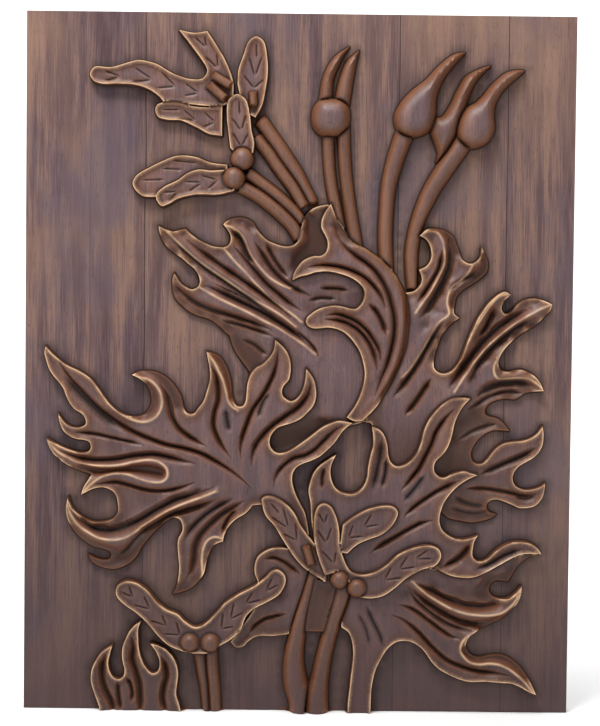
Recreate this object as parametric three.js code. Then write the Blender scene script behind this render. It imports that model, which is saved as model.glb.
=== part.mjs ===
// A foliate relief panel for a wall: seed wings, long-beaked buds and lobed leaves, carved as one from an
// edge-glued hardwood board. Millimetres, +Z up. The flat back lies on y = 0, centred on the origin, and the
// carved front faces -Y.
import * as THREE from "three";

// Driving dimensions
const PANEL_WIDTH = 600;
const PANEL_HEIGHT = 765;
const GROUND_THICKNESS = 22; // back face to the sunk ground
const RELIEF_HEIGHT = 22; // sunk ground to the highest ball

// The carver's drawing: its sheet and the rise of its highest point, in drawing units
const SHEET_WIDTH = 600;
const SHEET_HEIGHT = 765;
const SHEET_RISE = 22;

// Carving profile, in drawing units
const LEAF_DISH = 2; // how far a leaf sinks behind its arris
const LEAF_DISH_REACH = 8;
const CREST_RISE = 1.4; // a crest stands this much over the slopes beside it
const CREST_REACH = 4;
const SPOT_SOFTNESS = 4;
const LINE_SOFTNESS = 2.5;
const LINE_PULL = 2;
const LOWEST_LEAF = 1.2;
const WING_DISH = 1.8;
const WING_RIM = 2;
const WING_DISH_REACH = 3;
const VEIN_WIDTH = 2.6;
const VEIN_DEPTH = 1.6;
const STEM_FULLNESS = 1.25; // rise of a stem's back over its half width
const CUT_SPREAD = 0.8; // half the mouth of a cut over its stated width
const CUT_BITE = 1;
const VALLEY_BITE = 0.8; // a wide soft valley that a cut in a leaf lies in
const VALLEY_REACH = 10;
const CUT_TAPER = 0.22; // share of a cut's length that runs out at each end

// Faceting, in drawing units
const CURVE_STEP = 1.5;
const OUTLINE_STEP = 10;
const OUTLINE_STEP_MIN = 3.5;
const OUTLINE_TURN = 0.5; // radians of bend that call for a new point
const STROKE_STEP = 12;
const RELIEF_STEP = 17;
const GROUND_STEP = 34;
const EDGE_STEP = 32;
const ARRIS_INSET = 0.5;
const FOOT_OFFSET = 0.9;
const CLOSEST_POINTS = 0.9;
const CROSSING_OFFSET = 0.7;

const motifs = []; // back to front

function readPoints(text) {
  return text.split(",").map((item) => {
    const corner = item.includes("*");
    const [x, z, width] = item.replace("*", "").trim().split(/\s+/).map(Number);
    return { x, z, width: width ?? 0, corner };
  });
}

function smoothRun(points, closed) {
  if (points.length < 2) return points;
  const stops = points.map((point) => new THREE.Vector3(point.x, point.width, point.z));
  const curve = new THREE.CatmullRomCurve3(stops, closed, "centripetal");
  const count = Math.max(2, Math.ceil(curve.getLength() / CURVE_STEP));
  return curve.getSpacedPoints(count).map((stop) => ({ x: stop.x, z: stop.z, width: stop.y, corner: false }));
}

function smoothOutline(points) {
  const firstCorner = points.findIndex((point) => point.corner);
  if (firstCorner < 0) return smoothRun(points, true).slice(0, -1);
  const turned = [...points.slice(firstCorner), ...points.slice(0, firstCorner), points[firstCorner]];
  const outline = [];
  let start = 0;
  for (let end = 1; end < turned.length; end++) {
    if (!turned[end].corner) continue;
    const run = smoothRun(turned.slice(start, end + 1), false).slice(0, -1);
    run[0].corner = true;
    outline.push(...run);
    start = end;
  }
  return outline;
}

function nearest(line, closed, x, z) {
  let best = Infinity;
  let along = 0;
  let width = 0;
  const last = closed ? line.length : line.length - 1;
  for (let i = 0; i < last; i++) {
    const a = line[i];
    const b = line[(i + 1) % line.length];
    const dx = b.x - a.x;
    const dz = b.z - a.z;
    const share = THREE.MathUtils.clamp(((x - a.x) * dx + (z - a.z) * dz) / (dx * dx + dz * dz || 1), 0, 1);
    const gap = Math.hypot(x - a.x - share * dx, z - a.z - share * dz);
    if (gap >= best) continue;
    best = gap;
    along = (i + share) / last;
    width = a.width + share * (b.width - a.width);
  }
  return { gap: best, along, width };
}

function contains(outline, x, z) {
  let inside = false;
  for (let i = 0, j = outline.length - 1; i < outline.length; j = i++) {
    const a = outline[i];
    const b = outline[j];
    if (a.z > z !== b.z > z && x < ((b.x - a.x) * (z - a.z)) / (b.z - a.z) + a.x) inside = !inside;
  }
  return inside;
}

function addMotif(name, outline, strokes, height) {
  const xs = outline.map((point) => point.x);
  const zs = outline.map((point) => point.z);
  const box = [Math.min(...xs), Math.min(...zs), Math.max(...xs), Math.max(...zs)];
  motifs.push({ name, outline, strokes, height, box });
}

function covers(motif, x, z) {
  const [x0, z0, x1, z1] = motif.box;
  return x >= x0 && x <= x1 && z >= z0 && z <= z1 && contains(motif.outline, x, z);
}

function readStrokes(lines) {
  const strokes = [];
  for (const line of lines) {
    const [label, text] = line.split(":");
    const [kind, first, second] = label.trim().split(/\s+/);
    if (kind === "veins") {
      for (const vein of text.split(",")) {
        const [x, z, ax, az, bx, bz] = vein.trim().split(/\s+/).map(Number);
        for (const [tipX, tipZ] of [[ax, az], [bx, bz]]) {
          const route = [{ x, z, width: 0 }, { x: tipX, z: tipZ, width: 0 }];
          strokes.push({ kind: "cut", width: VEIN_WIDTH, depth: VEIN_DEPTH, route });
        }
      }
    } else if (kind === "cut") {
      const route = smoothRun(readPoints(text), false);
      strokes.push({ kind, width: Number(first), depth: Number(second), route });
    } else {
      const stops = readPoints(text);
      const route = kind === "level" ? stops : smoothRun(stops, false);
      strokes.push({ kind, level: Number(first), route });
    }
  }
  return strokes;
}

function cutDepth(strokes, valleyBite, x, z) {
  let depth = 0;
  for (const stroke of strokes) {
    if (stroke.kind !== "cut") continue;
    const { gap, along } = nearest(stroke.route, false, x, z);
    const taper = Math.min(1, (Math.min(along, 1 - along) + 0.02) / CUT_TAPER);
    const reach = stroke.width * CUT_SPREAD * Math.sqrt(taper);
    const bite = CUT_BITE * Math.max(0, 1 - gap / reach);
    const valley = valleyBite * Math.max(0, 1 - gap / VALLEY_REACH) ** 2;
    depth = Math.max(depth, stroke.depth * taper * (bite + valley));
  }
  return depth;
}

function smoothStep(share) {
  const clamped = THREE.MathUtils.clamp(share, 0, 1);
  return clamped * clamped * (3 - 2 * clamped);
}

// A lobed leaf: levels hold chosen spots at a height, and crests and floors hold lines, blended by nearness
function leaf(name, outlineText, lines) {
  const outline = smoothOutline(readPoints(outlineText));
  const strokes = readStrokes(lines);
  const spots = strokes.filter((stroke) => stroke.kind === "level");
  const held = strokes.filter((stroke) => stroke.kind === "crest" || stroke.kind === "floor");
  addMotif(name, outline, strokes, (x, z) => {
    let sum = 0;
    let weights = 0;
    let ridge = 0;
    for (const { level, route } of spots) {
      for (const spot of route) {
        const weight = ((x - spot.x) ** 2 + (z - spot.z) ** 2 + SPOT_SOFTNESS ** 2) ** -1.5;
        sum += weight * level;
        weights += weight;
      }
    }
    for (const { kind, level, route } of held) {
      const { gap } = nearest(route, false, x, z);
      const weight = LINE_PULL * (gap ** 2 + LINE_SOFTNESS ** 2) ** -1.5;
      sum += weight * level;
      weights += weight;
      if (kind === "crest") ridge = Math.max(ridge, 1 - gap / CREST_REACH);
    }
    const rim = nearest(outline, true, x, z).gap;
    const dish = LEAF_DISH * smoothStep(rim / LEAF_DISH_REACH);
    const cut = cutDepth(strokes, VALLEY_BITE, x, z);
    return Math.max(LOWEST_LEAF, sum / weights + CREST_RISE * ridge - dish - cut);
  });
}

// A flat seed wing with a raised rim and chevron veins
function wing(name, top, outlineText, lines) {
  const outline = smoothOutline(readPoints(outlineText));
  const strokes = readStrokes(lines);
  addMotif(name, outline, strokes, (x, z) => {
    const rim = nearest(outline, true, x, z).gap;
    return top - WING_DISH * smoothStep((rim - WING_RIM) / WING_DISH_REACH) - cutDepth(strokes, 0, x, z);
  });
}

// A swelling form whose back rises from its outline in a round
function bud(name, base, fullness, outlineText) {
  const outline = smoothOutline(readPoints(outlineText));
  addMotif(name, outline, [], (x, z) => {
    const share = Math.min(1, nearest(outline, true, x, z).gap / fullness);
    return base + fullness * Math.sqrt(1 - (1 - share) ** 2);
  });
}

// A round stem along a centre line that gives its width at each point
function stem(name, base, text) {
  const spine = smoothRun(readPoints(text), false);
  const sides = [[], []];
  spine.forEach((point, i) => {
    const before = spine[Math.max(0, i - 1)];
    const after = spine[Math.min(spine.length - 1, i + 1)];
    const length = Math.hypot(after.x - before.x, after.z - before.z);
    const nx = (-(after.z - before.z) / length) * (point.width / 2);
    const nz = ((after.x - before.x) / length) * (point.width / 2);
    sides[0].push({ x: point.x + nx, z: point.z + nz, width: 0, corner: false });
    sides[1].push({ x: point.x - nx, z: point.z - nz, width: 0, corner: false });
  });
  const outline = [...sides[0], ...sides[1].reverse()];
  addMotif(name, outline, [{ kind: "crest", route: spine }], (x, z) => {
    const { gap, width } = nearest(spine, false, x, z);
    const half = width / 2;
    return base + STEM_FULLNESS * half * Math.sqrt(Math.max(0, 1 - (gap / half) ** 2));
  });
}

const peg = stem;

function ball(name, base, x, z, radius) {
  const sides = Math.ceil((2 * Math.PI * radius) / CURVE_STEP);
  const outline = [];
  for (let i = 0; i < sides; i++) {
    const angle = (2 * Math.PI * i) / sides;
    const around = { x: x + radius * Math.cos(angle), z: z + radius * Math.sin(angle) };
    outline.push({ ...around, width: 0, corner: false });
  }
  const centre = [{ x, z, width: 0 }, { x: x + 0.01, z, width: 0 }];
  addMotif(name, outline, [{ kind: "crest", route: centre }], (px, pz) => {
    const gap = Math.hypot(px - x, pz - z);
    return base + radius * Math.sqrt(Math.max(0, 1 - (gap / radius) ** 2));
  });
}

stem("bud_stem_a1", 1.5,
  "29 262 12, 30.5 225 12, 33 200 12, 38 175 12, 44 148 12");
stem("bud_stem_a2", 2.5,
  "46 262 13, 47.5 225 13, 50 200 13, 54 172 13, 62 128 13");
stem("bud_stem_b", 2.5,
  "116 262 20, 108 240 19, 103 225 18, 99 210 17, 96 196 16, 94 175 15, 93 135 15, 95 104 14");
bud("bud_c", 1.5, 15,
  `147 222*, 149 231, 145 244, 141 256, 146 270, 153 272, 162 285, 169 300, 179 316, 196 325,
   206 328*, 191 312, 183 296, 178 280, 172 262, 166 246, 157 232`);
stem("bud_stem_d", 3,
  `178 246 20, 166 228 19, 155 212 19, 145 196 18, 137 180 17, 130 163 15, 125 145 14, 122 125 14,
   122 105 13, 123 84 11`);
bud("bud_b", 2.5, 18,
  `104 257, 101 271, 107 285, 119 299, 135 312, 150 328, 166 340, 178 342*, 165 327, 153 310,
   147 292, 146 272, 141 258, 127 250, 112 250`);
bud("bud_d", 3, 18,
  `170 250, 170 262, 173 272, 180 282, 190 288, 198 296, 205 305, 213 313, 222 320, 232 323,
   243 323*, 233 314, 224 306, 216 296, 211 285, 210 272, 211 260, 207 249, 198 241, 184 238, 174 243`);
bud("bud_a_horn_1", 1.5, 10,
  "18 280, 20 295, 22 309, 28 325, 38 338, 52 347*, 45 337, 39 324, 34 310, 33 292, 30 280");
bud("bud_a_horn_2", 2.5, 10,
  "36 280, 38 298, 42 315, 49 331, 62 343*, 59 331, 56 313, 53 292, 50 280");
bud("bud_a", 2.5, 19,
  `11 268, 13 280, 20 288, 32 290, 44 288, 51 281, 53 268, 50 258, 42 251, 31 249, 20 251, 13 258`);
wing("wing_1", 12,
  `-230 313, -225 321, -207 321, -186 327, -177 329, -158 325, -140 315, -120 309, -108 310,
   -103 318, -107 327, -118 342, -134 362*, -117 359, -103 361*, -95 349, -85 333, -78 318, -74 305*,
   -74 285*, -90 279*, -150 284*, -153 288, -165 297, -181 302, -199 303, -218 303, -226 306`, [
  "veins: -197 311 -214 317 -214 306, -162 308 -183 322 -186 305, -137 301 -153 317 -158 299",
  "veins: -112 294 -127 305 -128 291, -104 343 -117 355 -106 356, -91 321 -106 334 -93 338"]);
wing("wing_2", 10,
  `-159 275, -157 281, -148 284, -133 284, -118 280, -100 279, -86 281*, -86 248*, -100 250,
   -114 257, -130 264, -146 265, -156 268`, [
  "veins: -115 265 -128 276 -134 266, -94 263 -106 274 -108 257",
  "cut 2.4 1.6: -152 276, -132 276"]);
wing("wing_3", 11,
  `-70 305*, -69 320, -64 335, -58 351, -50 356, -42 351, -38 335, -37 317, -39 300, -43 281,
   -50 268*, -64 276*`, [
  "veins: -51 312 -58 336 -43 336, -52 300 -64 315 -41 310",
  "cut 2.4 1.6: -50 350, -49 332"]);
peg("peg_1", 13,
  "-96 313 9, -77 302 9");
peg("peg_2", 13,
  "-100 303 9, -83 288 9");
peg("peg_3", 13,
  "-53 295 8, -52 281 8");
stem("wing_stem_1", 2,
  "-44 265 15, -35 252 15, -24 237 15, -14 222 15, -4 207 15, 3 193 15, 12 176 15");
stem("wing_stem_2", 3,
  "-50 247 13, -36 231 13, -27 218 13, -17 205 13, -8 193 13, 4 172 13");
stem("wing_stem_3", 4,
  "-58 209 12, -45 199 12, -30 188 12, -17 177 12, -5 165 12, 2 155 12");
stem("wing_stem_4", 3,
  "-66 194 14, -47 184 14, -33 174 14, -20 163 14, -9 152 14, 0 138 14");
wing("wing_4", 16,
  `-77 235*, -79 250, -81 268, -80 285, -76 290, -70 293, -65 291, -60 286, -56 271, -54 254,
   -51 240, -52 230*, -68 224*`, [
  "veins: -65 253 -76 268 -60 272, -65 236 -75 252 -57 252",
  "cut 2.4 1.6: -68 287, -67 270"]);
wing("wing_5", 11,
  `-80 217*, -98 219, -115 225, -135 226, -151 220, -163 214, -178 205, -183 197, -181 190, -172 182,
   -160 181*, -120 190*, -80 195*`, [
  "cut 2.4 1.6: -140 221, -112 218",
  "cut 2.4 1.6: -152 212, -128 211",
  "cut 2.4 1.6: -174 199, -148 200"]);
wing("wing_6", 16,
  `-82 211*, -98 210, -111 211, -123 207, -134 199, -148 192, -156 185, -157 179, -151 171, -144 173,
   -131 180, -112 184, -91 184, -73 188*, -68 200*`, [
  "veins: -134 187 -149 186 -144 175, -107 197 -127 198 -122 187, -90 200 -109 205 -101 190"]);
ball("ball_1", 10, -64, 223.5, 12.3);
ball("ball_2", 11, -73, 202.5, 11.8);
leaf("lower_right_leaf",
  `150 -222*, 180 -220, 215 -212, 250 -206, 266 -205*, 252 -212, 244 -219, 238 -228, 233 -237*,
   226 -236, 219 -236, 214 -240, 212 -246, 215 -252, 222 -255, 231 -255, 239 -250, 247 -241*,
   246 -250, 243 -258, 238 -266, 232 -273, 224 -279, 214 -284, 205 -288, 197 -292, 190 -298,
   187 -306, 189 -313, 195 -319, 203 -321, 213 -319, 224 -318, 234 -321, 244 -328, 252 -337,
   259 -348, 265 -361*, 255 -357, 246 -352, 238 -349, 226 -348, 208 -347, 190 -347, 178 -344,
   167 -339, 157 -333, 149 -325, 142 -315, 135 -308, 126 -303, 117 -302, 109 -304, 100 -312, 94 -322,
   89 -332, 86 -342, 84 -354, 83 -370, 83 -392*, 57 -392*, 58 -370, 60 -350, 62 -330, 63 -315,
   61 -302, 57 -293, 50 -288*, 45 -260*, 60 -235*, 100 -200*`, [
  `crest 15: 127 -236, 133 -242, 143 -250, 155 -258, 170 -266, 185 -271, 200 -273, 213 -273,
   226 -270, 235 -263, 241 -255, 246 -244`,
  `crest 12: 197 -292, 188 -297, 182 -305, 181 -313, 185 -320, 192 -326, 202 -328, 213 -327,
   223 -328, 233 -332, 243 -339, 251 -346, 258 -354, 264 -361`,
  "level 10: 263 -206, 245 -211, 220 -225, 200 -235, 180 -237, 160 -232",
  "floor 3: 256 -212, 247 -219, 241 -228, 236 -236, 222 -238, 210 -240, 206 -247",
  "floor 3: 240 -268, 230 -276, 218 -282, 206 -287",
  "level 6: 180 -248, 150 -242, 216 -262, 195 -264, 175 -258",
  "level 13: 70 -262, 78 -285, 82 -300, 74 -330, 70 -375",
  "level 9: 185 -284, 160 -276, 140 -262, 120 -248",
  "level 12: 165 -296, 145 -285, 125 -270, 105 -256",
  "level 12: 170 -322, 195 -340, 225 -342, 245 -350",
  "level 14: 130 -297, 112 -298, 150 -318, 118 -285",
  "floor 3: 186 -313, 193 -320, 204 -323, 218 -321, 235 -325, 246 -333, 254 -344",
  "cut 6 5: 122 -242, 140 -257, 160 -270, 180 -280, 200 -284, 220 -281",
  "cut 6 6: 128 -237, 145 -246, 165 -256, 185 -263, 205 -265, 225 -262",
  "cut 4 3.5: 112 -262, 128 -268, 145 -280, 160 -291, 172 -298, 182 -300",
  `cut 4.5 4: 104 -273, 120 -281, 135 -294, 150 -310, 165 -323, 182 -331, 200 -336, 220 -338,
   238 -341`,
  "cut 4 2.5: 120 -240, 132 -258, 148 -272, 165 -283, 185 -290, 198 -291",
  "cut 7 1.8: 76 -262, 84 -280, 92 -296, 97 -312",
  "cut 7 1.5: 66 -270, 76 -288, 82 -310"]);
leaf("lower_middle_leaf",
  `-17 -201, -27 -202, -36 -206, -43 -212, -46 -220, -46 -230, -43 -238*, -36 -250, -50 -275,
   -72 -306*, -66 -312, -58 -311, -53 -306, -46 -301, -38 -299, -25 -299, -10 -297*, 10 -290*,
   25 -230*, 5 -205*`, [
  "level 9: -40 -220, -25 -208, -5 -225, 5 -245",
  "level 8: -20 -290, -35 -270, -20 -250, -45 -295, -65 -308",
  "level 11: 0 -270, -5 -235, -15 -265",
  "cut 4 3: -52 -297, -45 -288, -35 -281, -25 -278, -10 -274",
  "cut 4 3: -36 -214, -25 -213, -15 -217, -5 -224, 4 -231"]);
leaf("right_leaf",
  `112 80*, 118 80, 125 82, 131 88, 133 95, 130 105*, 138 109, 143 118, 142 130, 137 138, 130 142*,
   138 149, 148 150, 160 147, 168 141, 171 134, 174 126, 178 116, 186 112, 193 115, 197 121,
   198 130*, 203 121, 206 112, 204 103, 197 96, 187 89, 178 83, 172 76, 170 66, 169 58, 175 53*,
   165 45, 156 33, 151 20, 148 6, 148 -2, 153 -7, 160 -8, 168 -4, 175 5, 181 20, 187 36, 195 53,
   206 69, 217 79, 224 82, 230 79*, 224 72, 221 63, 225 58, 231 60, 238 68, 246 73, 256 75, 266 73,
   275 69*, 274 62, 267 54, 259 46, 249 40, 239 33, 229 24, 221 14, 218 6, 219 0, 225 -5, 233 -5,
   241 -3, 250 -5, 258 -10, 264 -17, 268 -26*, 258 -27, 248 -29, 241 -34, 237 -36*, 226 -35, 217 -37,
   209 -41, 205 -47, 205 -52, 210 -55, 218 -57, 225 -62, 230 -68, 232 -71*, 224 -70, 215 -70,
   207 -73, 199 -79, 193 -87, 190 -96, 192 -104, 197 -107, 203 -106, 208 -101, 213 -94, 219 -88,
   226 -84, 236 -82, 246 -81, 255 -78, 262 -73, 268 -64*, 269 -75, 268 -85, 265 -92, 259 -99,
   251 -104, 243 -109, 238 -115, 236 -122, 238 -129, 243 -133, 250 -135, 259 -134, 267 -131,
   272 -127*, 271 -136, 269 -143, 265 -149, 260 -153, 252 -155, 243 -155, 234 -151, 226 -148,
   218 -146, 211 -148, 208 -153, 210 -159, 219 -163*, 213 -167, 204 -170, 192 -172, 178 -170,
   166 -167, 158 -160*, 145 -125*, 120 -122*, 95 -116*, 89 -90*, 85 -72*, 79 -63*, 72 -62*, 90 0*,
   100 40*`, [
  `crest 14: 131 143, 140 147, 148 146, 154 139, 157 128, 158 118, 156 108, 151 98, 146 88, 139 76,
   132 66, 126 57`,
  `crest 12: 197 129, 195 117, 189 112, 184 102, 175 93, 167 87, 163 80, 161 70, 163 57, 152 47,
   144 34, 137 21, 129 8, 122 -3, 114 -12`,
  "crest 15: 229 80, 218 77, 208 67, 199 54, 190 38, 182 22, 176 8, 168 -4, 159 -8",
  "crest 15: 275 69, 262 63, 248 55, 234 46, 220 35, 207 23, 195 9, 184 -6, 175 -20, 170 -28",
  "crest 13: 268 -25, 260 -18, 251 -13, 240 -12, 228 -13, 218 -13, 214 -8, 213 0, 217 9",
  "floor 3: 144 150, 154 149, 163 144, 170 135, 173 126",
  "floor 3: 202 120, 205 110, 199 99, 190 91, 181 84, 174 77, 170 68",
  "level 4: 270 58, 256 46, 240 34",
  "level 9: 122 82, 136 100, 145 125, 138 140",
  "level 7: 165 120, 166 100, 155 80, 145 62, 138 45",
  "level 3: 223 0, 235 -4, 252 -7, 264 -20, 150 12, 155 30, 166 45",
  "level 6: 226 70, 230 62, 246 70, 262 71",
  "level 8: 210 62, 215 45, 196 30, 180 0, 222 28, 206 10, 190 -12",
  "level 10: 120 40, 110 0, 130 -20, 150 -30",
  "level 9: 230 -20, 210 -26, 190 -38",
  "level 5: 252 -27, 232 -33, 212 -40, 195 -50, 180 -60",
  "level 6: 225 -66, 205 -66, 190 -74, 178 -85",
  "level 4: 165 -100, 180 -108, 160 -112, 172 -75",
  "level 10: 215 -105, 235 -97, 255 -88, 265 -75",
  "level 8: 215 -125, 240 -118, 200 -118",
  "level 9: 255 -145, 235 -143, 210 -140, 190 -130",
  "level 6: 175 -140, 185 -155, 205 -155, 168 -158",
  "level 3: 180 -168, 205 -167, 216 -162",
  "cut 5 5: 155 128, 153 110, 146 95, 138 82, 128 68",
  "cut 8 6: 163 140, 164 115, 158 95, 149 78, 139 62, 131 52",
  "cut 5 4: 196 106, 186 99, 175 93, 168 87, 164 80",
  "cut 7 5: 158 50, 150 38, 141 22, 132 5, 122 -10, 112 -24, 103 -36",
  "cut 5 5: 145 -13, 138 -25, 128 -40, 117 -54",
  "cut 6 5: 214 64, 208 52, 202 40, 196 33",
  "cut 8 7: 255 66, 238 56, 222 45, 205 30, 190 13, 176 -6, 164 -24",
  "cut 8 5: 262 55, 244 47, 226 34, 209 18, 196 2, 186 -18",
  "cut 9 6: 258 -21, 245 -17, 230 -17, 215 -20, 203 -27, 195 -33",
  "cut 5 3: 248 -30, 230 -27, 212 -32, 198 -40, 184 -48",
  "cut 4 3: 218 -63, 205 -66, 190 -72, 175 -82",
  "cut 7 4: 262 -88, 248 -97, 232 -104, 214 -112, 200 -119",
  "cut 4 4: 184 -134, 200 -134, 218 -136, 235 -139, 250 -142, 264 -139",
  "cut 4 2.5: 262 -141, 250 -145, 238 -142",
  "cut 5 4: 172 -142, 182 -149, 194 -153, 206 -154",
  "cut 5 4: 168 -155, 180 -160, 194 -162, 210 -160"]);
leaf("high_leaf",
  `-155 150*, -147 146, -138 144, -130 146, -125 147*, -120 142, -112 136, -102 131, -94 128,
   -84 127*, -79 129, -76 134, -76 140, -79 146, -84 152*, -80 156, -73 159, -65 160, -57 158,
   -51 154, -47 147, -42 141, -35 135, -28 132, -20 129.5, -13 129, -6 131, -2 136, 0 142, 1 150,
   3 158, 7 165, 13 170, 20 173, 30 175*, 60 130*, 100 60*, 100 0*, 72 -62*, 46 -70*, 10 -86*,
   -18 -99*, -38 -96*, -46 -60*, -54 -8*, -60 0, -66 8, -71 16, -74 24, -76 31*, -80 34, -85 39,
   -91 44, -97 48, -104 50.5, -113 53, -122 58, -129 64, -135 70, -138 77, -139 85, -139 92,
   -137 99*, -134 94, -130 88, -124 83.5, -117 81, -111 84, -109 90, -111 97, -115 103, -121 108,
   -128 114, -135 119, -143 125, -149 132, -153 141`, [
  `crest 15: -149 148, -135 134, -120 120, -105 108, -90 98, -75 88, -60 78, -45 68, -30 60, -15 50,
   -4 41`,
  "crest 12: -84 127, -78 120, -70 111, -60 101, -50 90, -40 80, -30 71, -18 62, -5 53, 3 46",
  "crest 13: -110 84, -100 78, -85 70, -70 63, -55 56, -40 48, -25 41, -10 32, 5 22, 17 12",
  `crest 13: -83 151, -75 149, -67 144, -61 136, -57 126, -51 115, -42 104, -32 94, -22 88, -10 83`,
  "level 3: -152 147, -140 146, -151 136, -138 122, -76 154, -66 157, -54 153",
  "level 7: -126 144, -105 131, -90 124, -118 108, -113 98",
  "level 9: -100 118, -75 100, -50 84, -25 68",
  "level 9: -60 120, -40 110, -20 100, -35 130, -15 112",
  "level 8: -135 90, -125 72, -105 60, -85 50, -65 46, -45 40",
  "level 4: -137 80, -128 66, -108 54, -92 47, -80 37",
  "level 4: -70 22, -60 8, -50 0",
  "level 12: 0 140, 5 155, 15 168, -12 130",
  "floor 3: 9 160, 13 148, 17 137, 14 127, 6 119, -2 111",
  "level 11: -5 92, 20 92, 40 90, 60 84",
  "level 8: 20 72, 40 74, 62 76, 10 62",
  "level 12: 20 30, 30 20, 45 10, 40 35",
  "level 10: 30 -20, 45 -20, 30 -50, 50 -45, 62 -10, 25 0",
  "level 9: -30 0, -20 20, 0 0, 10 -40",
  "level 3: -34 -80, -22 -86, -8 -80, 8 -74, 26 -68",
  "cut 5 4: -125 136, -110 124, -95 113, -80 103, -65 93, -50 83, -35 72, -20 61, -8 50",
  "cut 8 5: -148 143, -133 129, -117 115, -102 103, -87 93, -72 83, -57 73, -42 63, -27 54",
  "cut 7 5: -104 86, -90 80, -75 73, -60 66, -45 59, -30 51, -15 42, 0 31, 12 20",
  "cut 5 4: -72 128, -60 115, -48 101, -36 88, -24 78, -12 68, 4 58",
  "cut 4 3: -95 88, -75 79, -55 69, -35 57, -15 45",
  "cut 5 4: -50 135, -40 118, -30 103, -20 93, -8 85, 13 75",
  "cut 8 6: -78 147, -68 140, -62 130, -56 117, -48 106",
  "cut 5 3: -38 134, -30 118, -22 106, -12 94",
  "cut 5 4: -137 86, -125 75, -112 66, -98 60, -80 55, -60 49, -40 42, -28 36",
  "cut 4 3: -85 48, -70 44, -55 40, -40 35, -28 30",
  "cut 4 3: -62 27, -50 22, -40 14, -34 10",
  "cut 4 3: 22 84, 40 84, 54 82",
  "cut 4 2: 10 70, 24 73, 40 72",
  "cut 3 3: -8 40, 5 30, 15 20, 22 10"]);
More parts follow.
